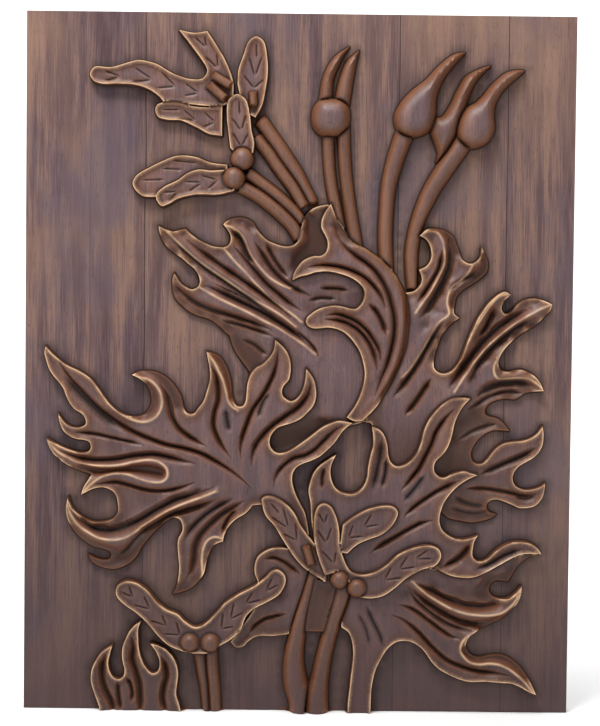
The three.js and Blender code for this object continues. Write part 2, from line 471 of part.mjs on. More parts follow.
leaf("left_leaf",
  `-277 18*, -270 10, -262 3, -252 -4, -243 -8, -234 -13, -226 -19, -219 -28, -213 -36, -206 -45,
   -198 -52, -189 -57, -180 -59, -170 -57, -164 -51, -161 -42, -163 -31, -168 -22, -174 -17,
   -182 -13*, -176 -10, -168 -9, -157 -10, -148 -14, -140 -20, -133 -29, -128 -38, -126 -47,
   -122 -54, -115 -55, -109 -48, -104 -41, -100 -29, -97 -15, -98 -2, -101 13*, -93 11, -86 7, -81 0,
   -77 -9, -74 -20, -73 -31, -71 -40, -67 -46, -61 -46, -58 -41, -57 -33, -56 -22, -53 -12, -47 -4,
   -40 0, -33 7, -28 15, -26 27*, -18 20, -12 12, -9 2, -9 -8, -11 -17, -16 -23, -18 -28, -17 -34,
   -13 -38, -8 -40, -3 -38, 2 -32, 5 -25, 7 -16, 8 -4*, 13 -10, 17 -17, 19 -26, 19 -36, 16 -45,
   11 -51, 4 -58, -5 -63, -14 -66, -22 -69, -28 -75, -31 -83, -30 -90, -26 -95, -20 -97, -12 -95,
   -3 -90, 7 -83, 16 -76, 25 -69, 34 -64, 44 -61, 60 -63*, 54 -67, 49 -72, 44 -79, 39 -86, 32 -93,
   24 -100, 14 -105, 6 -108, -1 -112, -5 -118, -6 -126, -4 -136, 0 -146, 4 -154, 8 -161, 12 -178,
   14 -194*, -10 -178*, -38 -154*, -49 -155*, -52 -159, -57 -164, -65 -169, -72 -175, -77 -182,
   -80 -189, -81 -195*, -87 -197, -92 -201, -96 -208, -99 -218, -102 -231, -109 -241, -117 -248,
   -127 -252, -136 -254*, -132 -246, -130 -236, -129 -224, -130 -212, -131 -200, -130 -192,
   -126 -184, -126 -177, -129 -171, -135 -169, -142 -172, -150 -179, -158 -187, -165 -195, -171 -203,
   -175 -211, -181 -218, -190 -224, -200 -227, -210 -226, -219 -223, -226 -218, -229 -211*,
   -221 -215, -213 -217, -206 -216, -204 -211, -207 -207, -213 -205, -222 -203, -231 -198, -240 -191,
   -247 -182, -251 -172, -253 -160, -251 -147*, -247 -158, -240 -166, -231 -172, -221 -175,
   -210 -174, -202 -171, -197 -164, -197 -155, -199 -146, -204 -140, -213 -137, -223 -138,
   -237 -145*, -234 -136, -229 -128, -226 -123*, -235 -120, -246 -116, -256 -110, -265 -103,
   -271 -94, -275 -83*, -267 -88, -257 -93, -246 -97, -236 -99, -229 -97, -227 -92, -229 -87,
   -235 -85, -243 -84, -250 -81, -257 -75, -261 -66, -263 -56*, -258 -63, -253 -68, -246 -71,
   -239 -71, -233 -68, -233 -62, -237 -56, -244 -52, -250 -45, -254 -37, -257 -29, -262 -22,
   -268 -15, -273 -7, -276 2, -278 10`, [
  `crest 12: -208 -44, -196 -54, -186 -60, -175 -64, -165 -64, -157 -60, -151 -52, -149 -42,
   -151 -32, -156 -24, -164 -18, -173 -16, -181 -13`,
  "crest 13: -100 12, -92 1, -87 -9, -82 -20, -79 -31, -77 -40, -72 -47, -66 -50",
  `crest 13: -275 -84, -262 -98, -250 -105, -235 -111, -215 -113, -195 -112, -178 -108, -162 -106,
   -150 -109, -143 -116, -143 -125, -149 -130, -160 -130, -172 -127, -186 -122, -200 -121, -214 -125,
   -226 -133, -236 -144`,
  `crest 15: -251 -149, -250 -160, -245 -171, -238 -179, -228 -186, -216 -192, -202 -194, -190 -192,
   -180 -187, -168 -178, -155 -169, -140 -160, -122 -152, -105 -146, -88 -139`,
  "crest 10: -103 -232, -104 -215, -102 -201, -97 -193, -90 -190, -81 -192",
  "floor 3: -184 -56, -172 -57, -163 -50, -161 -38, -166 -26",
  "floor 3: -92 12, -84 2, -78 -8, -75 -22, -72 -36",
  "floor 4: -180 -8, -166 -9, -150 -14, -137 -27, -130 -42",
  `floor 4: -248 -183, -238 -194, -226 -202, -212 -207, -200 -212, -186 -213, -174 -207, -164 -196,
   -150 -184`,
  "level 4: -262 -104, -245 -116, -232 -121, -98 -215, -94 -203, -120 -248, -106 -236, -130 -250",
  "floor 3: -236 -113, -215 -119, -195 -118, -175 -116, -158 -118, -151 -120",
  "level 10: -272 0, -258 -20, -245 -40, -232 -45",
  "level 9: -215 -60, -235 -35, -240 -20, -230 -70, -255 -66",
  "level 8: -225 -84, -200 -90, -240 -90, -265 -90",
  "level 12: -170 -72, -140 -70, -190 -80, -120 -60, -112 -68",
  "level 11: -105 -50, -95 -30, -88 -60, -75 -65",
  "level 13: -95 -85, -75 -95, -60 -110, -50 -70, -40 -55",
  "level 14: -45 -25, -35 -5, -25 18, -15 0, -20 -20",
  "level 14: -45 -85, -35 -100, -30 -115, -20 -50, 0 -45, 14 -25",
  "level 15: 0 -98, 25 -82, 45 -68, -15 -110, -15 -130",
  "level 13: -170 -95, -140 -98, -110 -103, -85 -118, -65 -130",
  "level 12: -130 -120, -100 -125, -90 -132, -60 -145",
  "level 8: -215 -140, -190 -140, -170 -145, -190 -158, -160 -150",
  "level 6: -235 -172, -215 -180, -195 -172",
  "level 10: -135 -145, -110 -138, -120 -165, -100 -162, -85 -155",
  "level 11: -120 -195, -122 -215, -125 -235",
  "level 9: -108 -200, -110 -220, -100 -185, -85 -178, -70 -163, -190 -205",
  "level 8: -5 -165, 5 -180, -45 -152",
  `cut 4.5 5: -264 4, -252 -15, -238 -31, -222 -47, -205 -60, -185 -73, -165 -82, -145 -89, -125 -93,
   -105 -99, -88 -108, -72 -118, -58 -129, -50 -137`,
  "cut 10 3: -258 -12, -243 -30, -225 -48, -208 -62, -190 -74",
  "cut 4 3: -245 -76, -225 -78, -205 -82, -185 -86, -168 -90",
  `cut 6 5: -262 -95, -245 -103, -225 -107, -200 -106, -180 -102, -160 -100, -140 -103, -125 -107,
   -110 -110`,
  "cut 5 5: -152 -22, -145 -34, -141 -48, -138 -60, -131 -71, -121 -79, -111 -85, -100 -91",
  "cut 4.5 5: -97 0, -91 -12, -88 -26, -88 -40, -92 -54, -93 -68, -89 -80, -82 -92, -73 -103",
  `cut 4.5 5: -23 16, -24 3, -28 -12, -34 -25, -42 -38, -50 -50, -56 -65, -61 -80, -63 -92, -62 -104`,
  "cut 6 5: 14 -18, 10 -33, 0 -46, -15 -57, -28 -67, -38 -77, -46 -88, -50 -100, -51 -112",
  `cut 5 4: 50 -65, 38 -73, 28 -83, 18 -93, 8 -99, -4 -102, -14 -109, -21 -117, -25 -126, -26 -134`,
  `cut 4 4: -222 -133, -200 -131, -185 -134, -170 -138, -155 -140, -140 -139, -125 -135, -112 -130`,
  `cut 9 6: -248 -160, -240 -172, -228 -180, -212 -185, -198 -184, -185 -179, -170 -171, -152 -160,
   -135 -151, -118 -145, -103 -140, -90 -135`,
  "cut 6 6: -182 -196, -168 -184, -155 -176, -140 -167, -120 -160, -105 -155, -90 -149",
  "cut 5 3: -200 -215, -188 -206, -178 -194, -166 -184",
  `cut 6 5: -57 -149, -70 -157, -85 -167, -98 -179, -107 -190, -112 -203, -113 -215, -116 -228,
   -122 -239`,
  "cut 7 3: -68 -146, -85 -155, -103 -168, -116 -181, -124 -196",
  "cut 4 4: -66 -160, -74 -168, -79 -177, -83 -187",
  "cut 8 2: -75 -75, -78 -60, -80 -48",
  "cut 7 2: -45 -60, -38 -40, -30 -30"]);
leaf("front_leaf",
  `188 -35*, 178 -34, 168 -35, 158 -41, 149 -50, 142 -60, 137 -72, 134 -85, 130 -95, 123 -104,
   115 -109, 108 -110, 102 -106, 99 -98, 98 -88, 95 -78, 90 -71, 80 -66*, 82 -76, 82 -88, 79 -100,
   77 -111, 76 -122, 73 -131, 67 -138, 59 -141, 51 -140, 43 -136, 38 -128, 36 -118, 37 -109, 42 -98*,
   32 -104, 24 -110, 18 -117, 14 -127, 12 -138, 14 -150, 16 -175, 30 -240*, 70 -240*, 110 -216*,
   152 -222*, 160 -226, 170 -230, 183 -232, 195 -231, 205 -227, 218 -220, 230 -213, 240 -208,
   250 -205, 268 -205*, 265 -200, 259 -195, 250 -192, 240 -192, 231 -194, 222 -199, 215 -205,
   209 -211, 203 -214, 197 -213, 193 -208, 193 -200, 195 -191, 199 -185*, 191 -188, 182 -190,
   173 -189, 165 -185, 159 -179, 156 -170, 157 -160, 161 -149, 168 -139, 176 -131, 186 -124,
   197 -119*, 190 -117, 183 -115, 175 -116, 167 -119, 161 -122, 155 -121, 150 -116, 149 -110,
   151 -104, 158 -97, 164 -88, 168 -76, 171 -62, 176 -50, 182 -41`, [
  "level 15: 178 -38, 160 -50, 150 -62, 140 -90, 155 -90, 165 -65",
  "level 14: 125 -112, 105 -115, 92 -90, 85 -75, 145 -108",
  "level 13: 75 -150, 50 -150, 25 -130, 20 -145, 32 -112, 100 -145",
  "level 13: 155 -130, 180 -120, 165 -137",
  "level 13: 120 -135, 110 -160, 145 -150, 120 -180, 90 -200",
  "level 12: 145 -170, 150 -190, 175 -200, 190 -192",
  "level 14: 170 -222, 195 -225, 215 -214, 235 -204, 262 -203, 225 -203",
  "level 9: 165 -205, 180 -212, 145 -205",
  "cut 5 5: 171 -46, 160 -58, 151 -72, 146 -86, 140 -98, 133 -112, 124 -124, 113 -138",
  "cut 5 4: 178 -125, 165 -131, 152 -138, 140 -146, 128 -155, 116 -167",
  "cut 5 4: 150 -169, 135 -173, 120 -181, 108 -188, 94 -196, 80 -206",
  "cut 6 5: 191 -194, 184 -205, 174 -214, 160 -221",
  "cut 8 3: 92 -78, 90 -100, 86 -120, 82 -138",
  "cut 6 3: 97 -100, 96 -118, 92 -135",
  "cut 4 3: 29 -112, 27 -124, 27 -136",
  "cut 8 2.5: 250 -199, 230 -206, 212 -216, 196 -223",
  "cut 8 2: 140 -118, 128 -135, 115 -150"]);
leaf("bract",
  `33 176*, 36 168, 42 155, 50 143, 60 134, 72 127, 85 119, 97 109, 105 98, 111 88, 116 78, 119 65,
   120 50, 119 35, 117 20, 113 8, 108 -5, 103 -16, 95 -30, 86 -44, 77 -54, 70 -61*, 61 -61, 53 -57*,
   58 -50, 63 -42, 68 -30, 71 -18, 72 -8, 70 3, 66 15, 59 26, 50 35, 42 39, 32 41, 22 40, 15 40,
   10 42, 7 47, 8 51, 12 55, 19 60, 28 63.5, 37 65, 47 64, 55 62, 62 62, 67 67, 70 74, 70 82, 66 88,
   60 93, 52 97, 42 100, 30 102, 18 101, 8 98, 0 96, -8 92*, -7 98, -3 106, 2 112, 8 116, 15 118.5,
   23 119, 28 123, 30 130, 29 137, 26 143, 23 149, 23 157, 26 165`, [
  "level 19: 30 110, 55 112, 75 100, 88 80, 95 55, 92 30, 78 60",
  "level 18: 30 160, 32 145, 40 130, 55 120",
  "level 16: 0 100, 15 112, 15 47, 35 55, 55 50, 75 30, 82 10, 80 -10",
  "level 14: 62 -50, 72 -35, 75 -55, 80 -30",
  `floor 5: 46 152, 58 140, 72 131, 86 122, 100 110, 110 97, 117 80, 120 60, 119 35, 114 10, 104 -12,
   92 -32`,
  "floor 16: 62 126, 78 117, 92 105, 103 90, 109 72, 111 50, 109 25, 102 -2, 92 -25, 82 -40",
  "cut 4 5: 8 106, 18 108.5, 30 109, 45 107, 60 102, 72 95, 82 85, 90 73, 94 61",
  `cut 5 5: 37 152, 42 140, 50 128, 60 120, 72 112, 82 103, 90 92, 97 78, 101 65, 104 50, 104 35,
   101 18, 96 0, 90 -15, 83 -35`,
  "cut 4.5 5: 28 54, 40 56, 52 53, 64 47, 74 38, 82 27, 88 15, 90 4",
  "cut 4.5 5: 27 50, 42 49, 54 45, 66 37, 76 25, 82 12, 86 -6",
  "cut 4.5 5: 75 68, 83 60, 90 48, 95 33"]);
stem("trunk_stem_1", 2,
  "20 -228 14, 13 -255 15, 6 -275 15, 1 -300 18, -2 -325 22, 0 -350 26, 6 -370 27, 8 -394 28");
stem("trunk_stem_2", 3,
  `54 -238 17, 49 -258 17, 42 -280 16, 37 -298 16, 31 -322 17, 27 -345 19, 24 -365 24, 23 -394 27`);
leaf("stem_web",
  "20 -236*, 44 -240*, 39 -262, 30 -294*, 10 -294*, 13 -270", [
  "level 6: 30 -245, 20 -280, 25 -290"]);
stem("trunk_stem_3", 2,
  "-107 -312 13, -103 -335 13, -99 -355 13, -94 -394 13");
stem("trunk_stem_4", 2.5,
  "-93 -312 13, -92 -335 13, -90 -355 13, -88 -394 12");
leaf("flame_leaf",
  `-213 -395*, -216 -378, -221 -364, -225 -350, -224 -337, -220 -328, -214 -319, -206 -313,
   -201 -310*, -204 -320, -206 -330, -204 -340, -200 -346, -194 -348, -189 -344, -188 -337,
   -190 -329, -191 -320, -190 -311, -187 -303, -183 -295, -177 -288, -170 -283*, -173 -292,
   -173 -303, -172 -315, -169 -326, -164 -335, -158 -341, -153 -340, -150 -335, -150 -327, -153 -318,
   -160 -308*, -151 -310, -143 -314, -136 -321, -131 -330, -129 -341, -130 -353, -131 -364,
   -128 -374, -123 -395*`, [
  "level 11: -215 -330, -222 -350, -215 -375, -203 -318",
  "level 12: -180 -300, -182 -320, -183 -335, -175 -290",
  "level 12: -150 -314, -136 -330, -134 -350, -136 -375",
  "level 10: -200 -355, -190 -370, -160 -350, -158 -375",
  "cut 6 5: -209 -320, -213 -335, -213 -348, -210 -360, -204 -372, -198 -390",
  "cut 4 3: -187 -345, -182 -354, -180 -363, -181 -374",
  "cut 6 5: -181 -300, -179 -312, -180 -326, -176 -340, -172 -355, -171 -370, -171 -392",
  "cut 6 5: -150 -320, -144 -333, -142 -345, -145 -358, -146 -370, -141 -390",
  "cut 5 3: -196 -350, -195 -366, -192 -384"]);
wing("wing_7", 13,
  `-39 -151, -39 -147, -34 -144, -25 -145, -13 -152, -3 -163, 4 -176, 12 -187*, 35 -215*, 32 -238*,
   17 -229, 5 -220, -5 -208, -15 -193, -25 -177, -35 -165`, [
  "veins: -9 -180 -30 -166 -16 -155, 0 -193 -17 -185 -2 -171",
  "cut 2.4 1.6: -30 -151, -19 -164"]);
wing("wing_9a", 17,
  `50 -174*, 62 -165, 77 -157, 93 -153, 105 -154, 110 -160, 107 -170, 100 -179, 90 -186, 79 -190,
   66 -196, 55 -206*, 46 -204*`, [
  "veins: 73 -177 82 -161 90 -174, 56 -189 62 -173 72 -187"]);
wing("wing_8", 17,
  `31 -230*, 24 -212, 20 -197, 18 -180, 19 -163, 23 -154, 29 -151, 36 -154, 42 -164, 46 -180,
   47 -197, 52 -213, 59 -225, 71 -229, 85 -226, 98 -218, 110 -207, 127 -199, 144 -196, 155 -200,
   158 -208, 152 -218, 137 -223, 121 -232, 107 -244, 95 -252, 82 -255, 70 -254*, 56 -236*, 44 -226*`, [
  "veins: 30 -174 23 -161 33 -162, 32 -195 22 -180 38 -176, 41 -218 26 -202 43 -203",
  "veins: 130 -211 144 -201 149 -211, 112 -223 131 -220 122 -207, 96 -235 117 -232 104 -220"]);
wing("wing_10", 15,
  `-198 -251, -196 -244, -187 -239, -175 -241, -163 -249, -152 -262, -142 -270, -130 -275, -120 -284,
   -110 -289, -100 -285, -87 -272, -78 -262, -65 -253, -45 -242, -34 -233, -27 -226, -20 -225,
   -13 -231, -12 -239, -19 -252, -33 -261, -46 -268, -55 -277, -60 -290, -70 -301, -83 -309*,
   -98 -318*, -113 -318*, -126 -315, -140 -309, -152 -298, -163 -285, -175 -274, -188 -265, -196 -257`, [
  `veins: -179 -257 -184 -243 -192 -251, -160 -270 -168 -254 -179 -265, -142 -288 -148 -274 -161 -282`,
  "veins: -127 -298 -132 -282 -146 -297, -34 -249 -19 -241 -26 -233, -56 -263 -37 -258 -47 -249",
  "veins: -72 -280 -57 -272 -68 -260, -82 -291 -68 -288 -80 -271"]);
peg("peg_4", 15,
  "10 -199 8, 16 -219 8");
ball("ball_3", 11, -116.5, -306, 10.2);
ball("ball_4", 11, -94, -306, 10.2);
ball("ball_5", 13, 47, -235, 9.5);
ball("ball_6", 13, 66, -244, 10);

// The index of the front motif at a place, or -1 on the sunk ground
function frontMotif(x, z) {
  for (let i = motifs.length - 1; i >= 0; i--) {
    if (covers(motifs[i], x, z)) return i;
  }
  return -1;
}

function riseAt(x, z) {
  const index = frontMotif(x, z);
  return index < 0 ? 0 : motifs[index].height(x, z);
}

// Points for the faceted front, kept apart by a grid of small cells
const points = [];
const cells = new Map();
const cellKey = (x, z, size) => `${Math.floor(x / size)},${Math.floor(z / size)}`;
const CELL = 8;

function hasNeighbour(x, z, reach) {
  const span = Math.ceil(reach / CELL);
  for (let i = -span; i <= span; i++) {
    for (let j = -span; j <= span; j++) {
      for (const other of cells.get(cellKey(x + i * CELL, z + j * CELL, CELL)) ?? []) {
        if (Math.hypot(other.x - x, other.z - z) < reach) return true;
      }
    }
  }
  return false;
}

function addPoint(x, z, reach, edge = false) {
  const halfW = SHEET_WIDTH / 2;
  const halfH = SHEET_HEIGHT / 2;
  if (!edge && (Math.abs(x) > halfW - CLOSEST_POINTS || Math.abs(z) > halfH - CLOSEST_POINTS)) return;
  if (hasNeighbour(x, z, reach)) return;
  const point = { x, z, edge };
  points.push(point);
  const key = cellKey(x, z, CELL);
  cells.set(key, [...(cells.get(key) ?? []), point]);
}

function addEdgePoints() {
  const halfW = SHEET_WIDTH / 2;
  const halfH = SHEET_HEIGHT / 2;
  for (const motif of motifs) {
    motif.outline.forEach((a, i) => {
      const b = motif.outline[(i + 1) % motif.outline.length];
      if ((a.z + halfH) * (b.z + halfH) >= 0) return;
      const x = a.x + ((-halfH - a.z) / (b.z - a.z)) * (b.x - a.x);
      addPoint(x - CROSSING_OFFSET, -halfH, CLOSEST_POINTS, true);
      addPoint(x + CROSSING_OFFSET, -halfH, CLOSEST_POINTS, true);
    });
  }
  const carvedEdge = RELIEF_STEP / 2;
  for (let x = -halfW + carvedEdge; x < halfW; x += carvedEdge) {
    if (frontMotif(x, -halfH) >= 0) addPoint(x, -halfH, carvedEdge / 2, true);
  }
  for (let x = -halfW + EDGE_STEP; x < halfW; x += EDGE_STEP) {
    addPoint(x, -halfH, EDGE_STEP / 3, true);
    addPoint(x, halfH, EDGE_STEP / 3, true);
  }
  for (let z = -halfH + EDGE_STEP; z < halfH; z += EDGE_STEP) {
    addPoint(-halfW, z, EDGE_STEP / 3, true);
    addPoint(halfW, z, EDGE_STEP / 3, true);
  }
}

function addOutlinePoints(motif, index) {
  const { outline } = motif;
  let travelled = Infinity;
  let heading = 0;
  for (let i = 0; i < outline.length; i++) {
    const before = outline[(i + outline.length - 1) % outline.length];
    const here = outline[i];
    const after = outline[(i + 1) % outline.length];
    travelled += Math.hypot(here.x - before.x, here.z - before.z);
    const angle = Math.atan2(after.z - before.z, after.x - before.x);
    const turn = Math.abs(Math.atan2(Math.sin(angle - heading), Math.cos(angle - heading)));
    const due = travelled > OUTLINE_STEP || (turn > OUTLINE_TURN && travelled > OUTLINE_STEP_MIN);
    if (!due && !here.corner) continue;
    travelled = 0;
    heading = angle;
    let nx = -Math.sin(angle);
    let nz = Math.cos(angle);
    if (!contains(outline, here.x + nx * ARRIS_INSET, here.z + nz * ARRIS_INSET)) {
      nx = -nx;
      nz = -nz;
    }
    const inner = [here.x + nx * ARRIS_INSET, here.z + nz * ARRIS_INSET];
    const outer = [here.x - nx * FOOT_OFFSET, here.z - nz * FOOT_OFFSET];
    if (frontMotif(...inner) === index) addPoint(...inner, CLOSEST_POINTS);
    if (frontMotif(...outer) < index) addPoint(...outer, CLOSEST_POINTS);
  }
}

function addStrokePoints(motif, index) {
  for (const stroke of motif.strokes) {
    if (stroke.kind === "level") continue;
    let travelled = STROKE_STEP / 2;
    stroke.route.forEach((point, i) => {
      const before = stroke.route[Math.max(0, i - 1)];
      travelled += Math.hypot(point.x - before.x, point.z - before.z);
      if (travelled < STROKE_STEP) return;
      travelled = 0;
      if (frontMotif(point.x, point.z) === index) addPoint(point.x, point.z, OUTLINE_STEP_MIN);
    });
  }
}

function addFillPoints(step, wanted) {
  let row = 0;
  for (let z = -SHEET_HEIGHT / 2 + step / 2; z < SHEET_HEIGHT / 2; z += step * 0.87, row++) {
    for (let x = -SHEET_WIDTH / 2 + (row % 2 ? step / 2 : step); x < SHEET_WIDTH / 2; x += step) {
      const jitterX = 0.06 * step * Math.sin(x * 1.7 + z);
      const jitterZ = 0.06 * step * Math.cos(z * 1.3 - x);
      if (wanted(x + jitterX, z + jitterZ)) addPoint(x + jitterX, z + jitterZ, step * 0.42);
    }
  }
}

const cross = (a, b, c) => (b.x - a.x) * (c.z - a.z) - (b.z - a.z) * (c.x - a.x);

function inCircle(a, b, c, p) {
  const [ax, az, bx, bz, cx, cz] = [a.x - p.x, a.z - p.z, b.x - p.x, b.z - p.z, c.x - p.x, c.z - p.z];
  const [a2, b2, c2] = [ax * ax + az * az, bx * bx + bz * bz, cx * cx + cz * cz];
  return ax * (bz * c2 - b2 * cz) - az * (bx * c2 - b2 * cx) + a2 * (bx * cz - bz * cx) > 1e-7;
}

// Delaunay faceting: each point opens the triangles whose circles hold it and closes them again around itself
function facet(corners) {
  let triangles = [[0, 1, 2], [0, 2, 3]];
  const placed = [...corners];
  for (const point of points) {
    const kept = [];
    const rim = new Map();
    for (const triangle of triangles) {
      const [a, b, c] = triangle;
      if (!inCircle(placed[a], placed[b], placed[c], point)) {
        kept.push(triangle);
        continue;
      }
      for (const [from, to] of [[a, b], [b, c], [c, a]]) {
        if (!rim.delete(`${to},${from}`)) rim.set(`${from},${to}`, [from, to]);
      }
    }
    const spokes = [...rim.values()];
    const flat = spokes.filter(([from, to]) => cross(placed[from], placed[to], point) < 1e-6);
    if (flat.length !== (point.edge ? 1 : 0)) continue;
    const index = placed.push(point) - 1;
    for (const [from, to] of spokes) {
      if (!flat.some(([f, t]) => f === from && t === to)) kept.push([from, to, index]);
    }
    triangles = kept;
  }
  return { placed, triangles };
}

function panelGeometry() {
  const halfW = SHEET_WIDTH / 2;
  const halfH = SHEET_HEIGHT / 2;
  const corners = [
    { x: -halfW, z: -halfH },
    { x: halfW, z: -halfH },
    { x: halfW, z: halfH },
    { x: -halfW, z: halfH },
  ];
  for (const corner of corners) cells.set(cellKey(corner.x, corner.z, CELL), [corner]);
  addEdgePoints();
  motifs.forEach(addOutlinePoints);
  motifs.forEach(addStrokePoints);
  addFillPoints(RELIEF_STEP, (x, z) => frontMotif(x, z) >= 0);
  addFillPoints(GROUND_STEP, (x, z) => frontMotif(x, z) < 0);
  const { placed, triangles } = facet(corners);

  const scaleX = PANEL_WIDTH / SHEET_WIDTH;
  const scaleZ = PANEL_HEIGHT / SHEET_HEIGHT;
  const scaleRise = RELIEF_HEIGHT / SHEET_RISE;
  const positions = [];
  for (const { x, z } of placed) {
    positions.push(x * scaleX, -GROUND_THICKNESS - riseAt(x, z) * scaleRise, z * scaleZ);
  }
  const indices = triangles.flat();

  // The edges used once are the panel's edge: they get side walls down to the flat back
  const open = new Map();
  for (const [a, b, c] of triangles) {
    for (const [from, to] of [[a, b], [b, c], [c, a]]) {
      if (!open.delete(`${to},${from}`)) open.set(`${from},${to}`, [from, to]);
    }
  }
  const backOf = new Map();
  const addBack = (index) => {
    if (!backOf.has(index)) {
      backOf.set(index, positions.length / 3);
      positions.push(positions[index * 3], 0, positions[index * 3 + 2]);
    }
    return backOf.get(index);
  };
  const centre = positions.length / 3;
  positions.push(0, 0, 0);
  for (const [from, to] of open.values()) {
    const backFrom = addBack(from);
    const backTo = addBack(to);
    indices.push(from, backFrom, to, to, backFrom, backTo, centre, backTo, backFrom);
  }
  const geometry = new THREE.BufferGeometry();
  geometry.setAttribute("position", new THREE.Float32BufferAttribute(positions, 3));
  geometry.setIndex(indices);
  geometry.computeVertexNormals();
  return geometry;
}

const stainedWood = new THREE.MeshStandardMaterial({
  color: 0x4a3228,
  roughness: 0.55,
  metalness: 0,
  flatShading: true,
});
const carvedPanel = new THREE.Mesh(panelGeometry(), stainedWood);
carvedPanel.name = "carved_panel";

const wallPanel = new THREE.Group();
wallPanel.add(carvedPanel);
export default wallPanel;
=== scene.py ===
"""The carved wall panel's looks: a fine foliate relief, dark stained wood, studio light and camera.

Metres in Blender, and millimetres on the carver's drawing: x to the right, z up, rise towards the viewer.
"""

import math

import bpy
import numpy as np
from mathutils import Matrix, Vector
from mathutils.geometry import delaunay_2d_cdt
from mathutils.kdtree import KDTree


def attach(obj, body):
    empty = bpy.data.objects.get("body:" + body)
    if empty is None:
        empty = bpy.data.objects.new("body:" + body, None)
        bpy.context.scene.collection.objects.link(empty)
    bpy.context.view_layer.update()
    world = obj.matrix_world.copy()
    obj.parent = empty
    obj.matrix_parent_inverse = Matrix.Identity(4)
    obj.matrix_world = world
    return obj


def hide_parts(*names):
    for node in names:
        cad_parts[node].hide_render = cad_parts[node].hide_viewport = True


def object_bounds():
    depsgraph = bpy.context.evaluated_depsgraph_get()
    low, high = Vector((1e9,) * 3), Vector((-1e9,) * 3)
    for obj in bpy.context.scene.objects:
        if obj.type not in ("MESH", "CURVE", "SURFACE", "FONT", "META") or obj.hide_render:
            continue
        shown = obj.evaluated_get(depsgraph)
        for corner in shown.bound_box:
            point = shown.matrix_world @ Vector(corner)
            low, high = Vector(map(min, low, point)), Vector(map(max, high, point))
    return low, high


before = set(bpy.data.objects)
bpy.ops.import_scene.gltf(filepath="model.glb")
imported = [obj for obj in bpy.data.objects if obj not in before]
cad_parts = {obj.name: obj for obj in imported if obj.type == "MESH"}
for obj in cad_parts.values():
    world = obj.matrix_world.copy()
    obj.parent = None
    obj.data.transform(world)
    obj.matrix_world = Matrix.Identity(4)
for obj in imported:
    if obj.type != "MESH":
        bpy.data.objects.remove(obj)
cad_low, cad_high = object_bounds()

# Drawing sheet
HALF_W = 300.0
HALF_H = 382.5
GROUND = 22.0  # back face to the sunk ground

# Carving profile
LEAF_DISH = 2.0
LEAF_DISH_REACH = 8.0
CREST_RISE = 1.4
CREST_REACH = 4.0
SPOT_SOFTNESS = 4.0
LINE_SOFTNESS = 2.5
LINE_PULL = 2.0
LOWEST_LEAF = 1.2
WING_DISH = 1.8
WING_RIM = 2.0
WING_DISH_REACH = 3.0
VEIN_WIDTH = 2.6
VEIN_DEPTH = 1.6
STEM_FULLNESS = 1.25
CUT_SPREAD = 0.8
CUT_BITE = 1.0
VALLEY_BITE = 0.8
VALLEY_REACH = 10.0
CUT_TAPER = 0.22
FOOT_REACH = 5.0

# Looks along the carving: the value in mm where each begins, and over how many mm it grows
CREST_RUB = 0.7  # how pale a crest is beside an arris
CUT_DARK_BAND = (0.25, 0.8)
MIDDLE_BAND = (3, 10)
ARRIS_RISE_BAND = (6, 3)
ARRIS_DROP_BAND = (2.5, 4)
UNDER_BAND = (8, 5)
ARRIS_REACH = 1.05
FOOT_DARK = 1.4
FOOT_DARK_FADE = 1.6
BULGE_GAIN = 2.2
SHARP_ANGLE = 38  # degrees

# Mesh fineness, and the rows of points beside an outline
ARRIS_INSET = 0.35
SHOULDER_INSET = 1.7
FOOT_OUTSET = 0.8
SKIRT_OUTSET = 2.4
ROW_INSETS = (ARRIS_INSET, SHOULDER_INSET, -FOOT_OUTSET, -SKIRT_OUTSET)
LINE_SPREAD = 2.0
SPLINE_PARTS = 24
CURVE_STEP = 1.3
STROKE_STEP = 2.0
RELIEF_STEP = 2.45
GROUND_STEP = 8.0
EDGE_STEP = 6.0
CLOSEST = 0.55
MAP_CELL = 0.2
MAP_CORNER = (-HALF_W - 20, -HALF_H - 20)
MAP_SHAPE = (4030, 3200)

# Plank joints: x, change of tone beyond it, strength of the glue line
PLANK_JOINTS = (
    (-230, -0.06, 0.25),
    (-170, 0.14, 0.75),
    (-42, -0.1, 0.2),
    (38, 0.02, 0.2),
    (107, 0.16, 0.75),
    (226, -0.1, 0.7),
)

# Colours, linear
BLACK = (0, 0, 0, 1)
GREY = (0.35, 0.35, 0.35, 1)
WHITE = (1, 1, 1, 1)
# Dark of the glue lines, and also the painted shade in the cuts and at the walls' feet
GLUE_AND_SHADE = (0.007, 0.0026, 0.0016, 1)
UMBER = (0.042, 0.018, 0.018, 1)
TAN = (0.31, 0.18, 0.12, 1)
ORANGE = (0.14, 0.042, 0.011, 1)
PALE = (0.9, 0.58, 0.34, 1)
BLUED = (0.1, 0.074, 0.1, 1)
# Painted highlight on the carving's swells
PAINTED_HIGHLIGHT = (0.3, 0.145, 0.075, 1)
SHEEN = (0.165, 0.118, 0.155, 1)
WARM_DARK = (0.06, 0.021, 0.01, 1)
WARM_LIGHT = (0.21, 0.078, 0.03, 1)
GROUND_TONES = (
    (0.42, (0.075, 0.04, 0.046, 1)),
    (0.5, (0.128, 0.074, 0.073, 1)),
    (0.58, (0.215, 0.123, 0.092, 1)),
)
CARVED_TONES = (
    (0.42, (0.05, 0.022, 0.02, 1)),
    (0.5, (0.1, 0.049, 0.044, 1)),
    (0.58, (0.17, 0.087, 0.068, 1)),
)

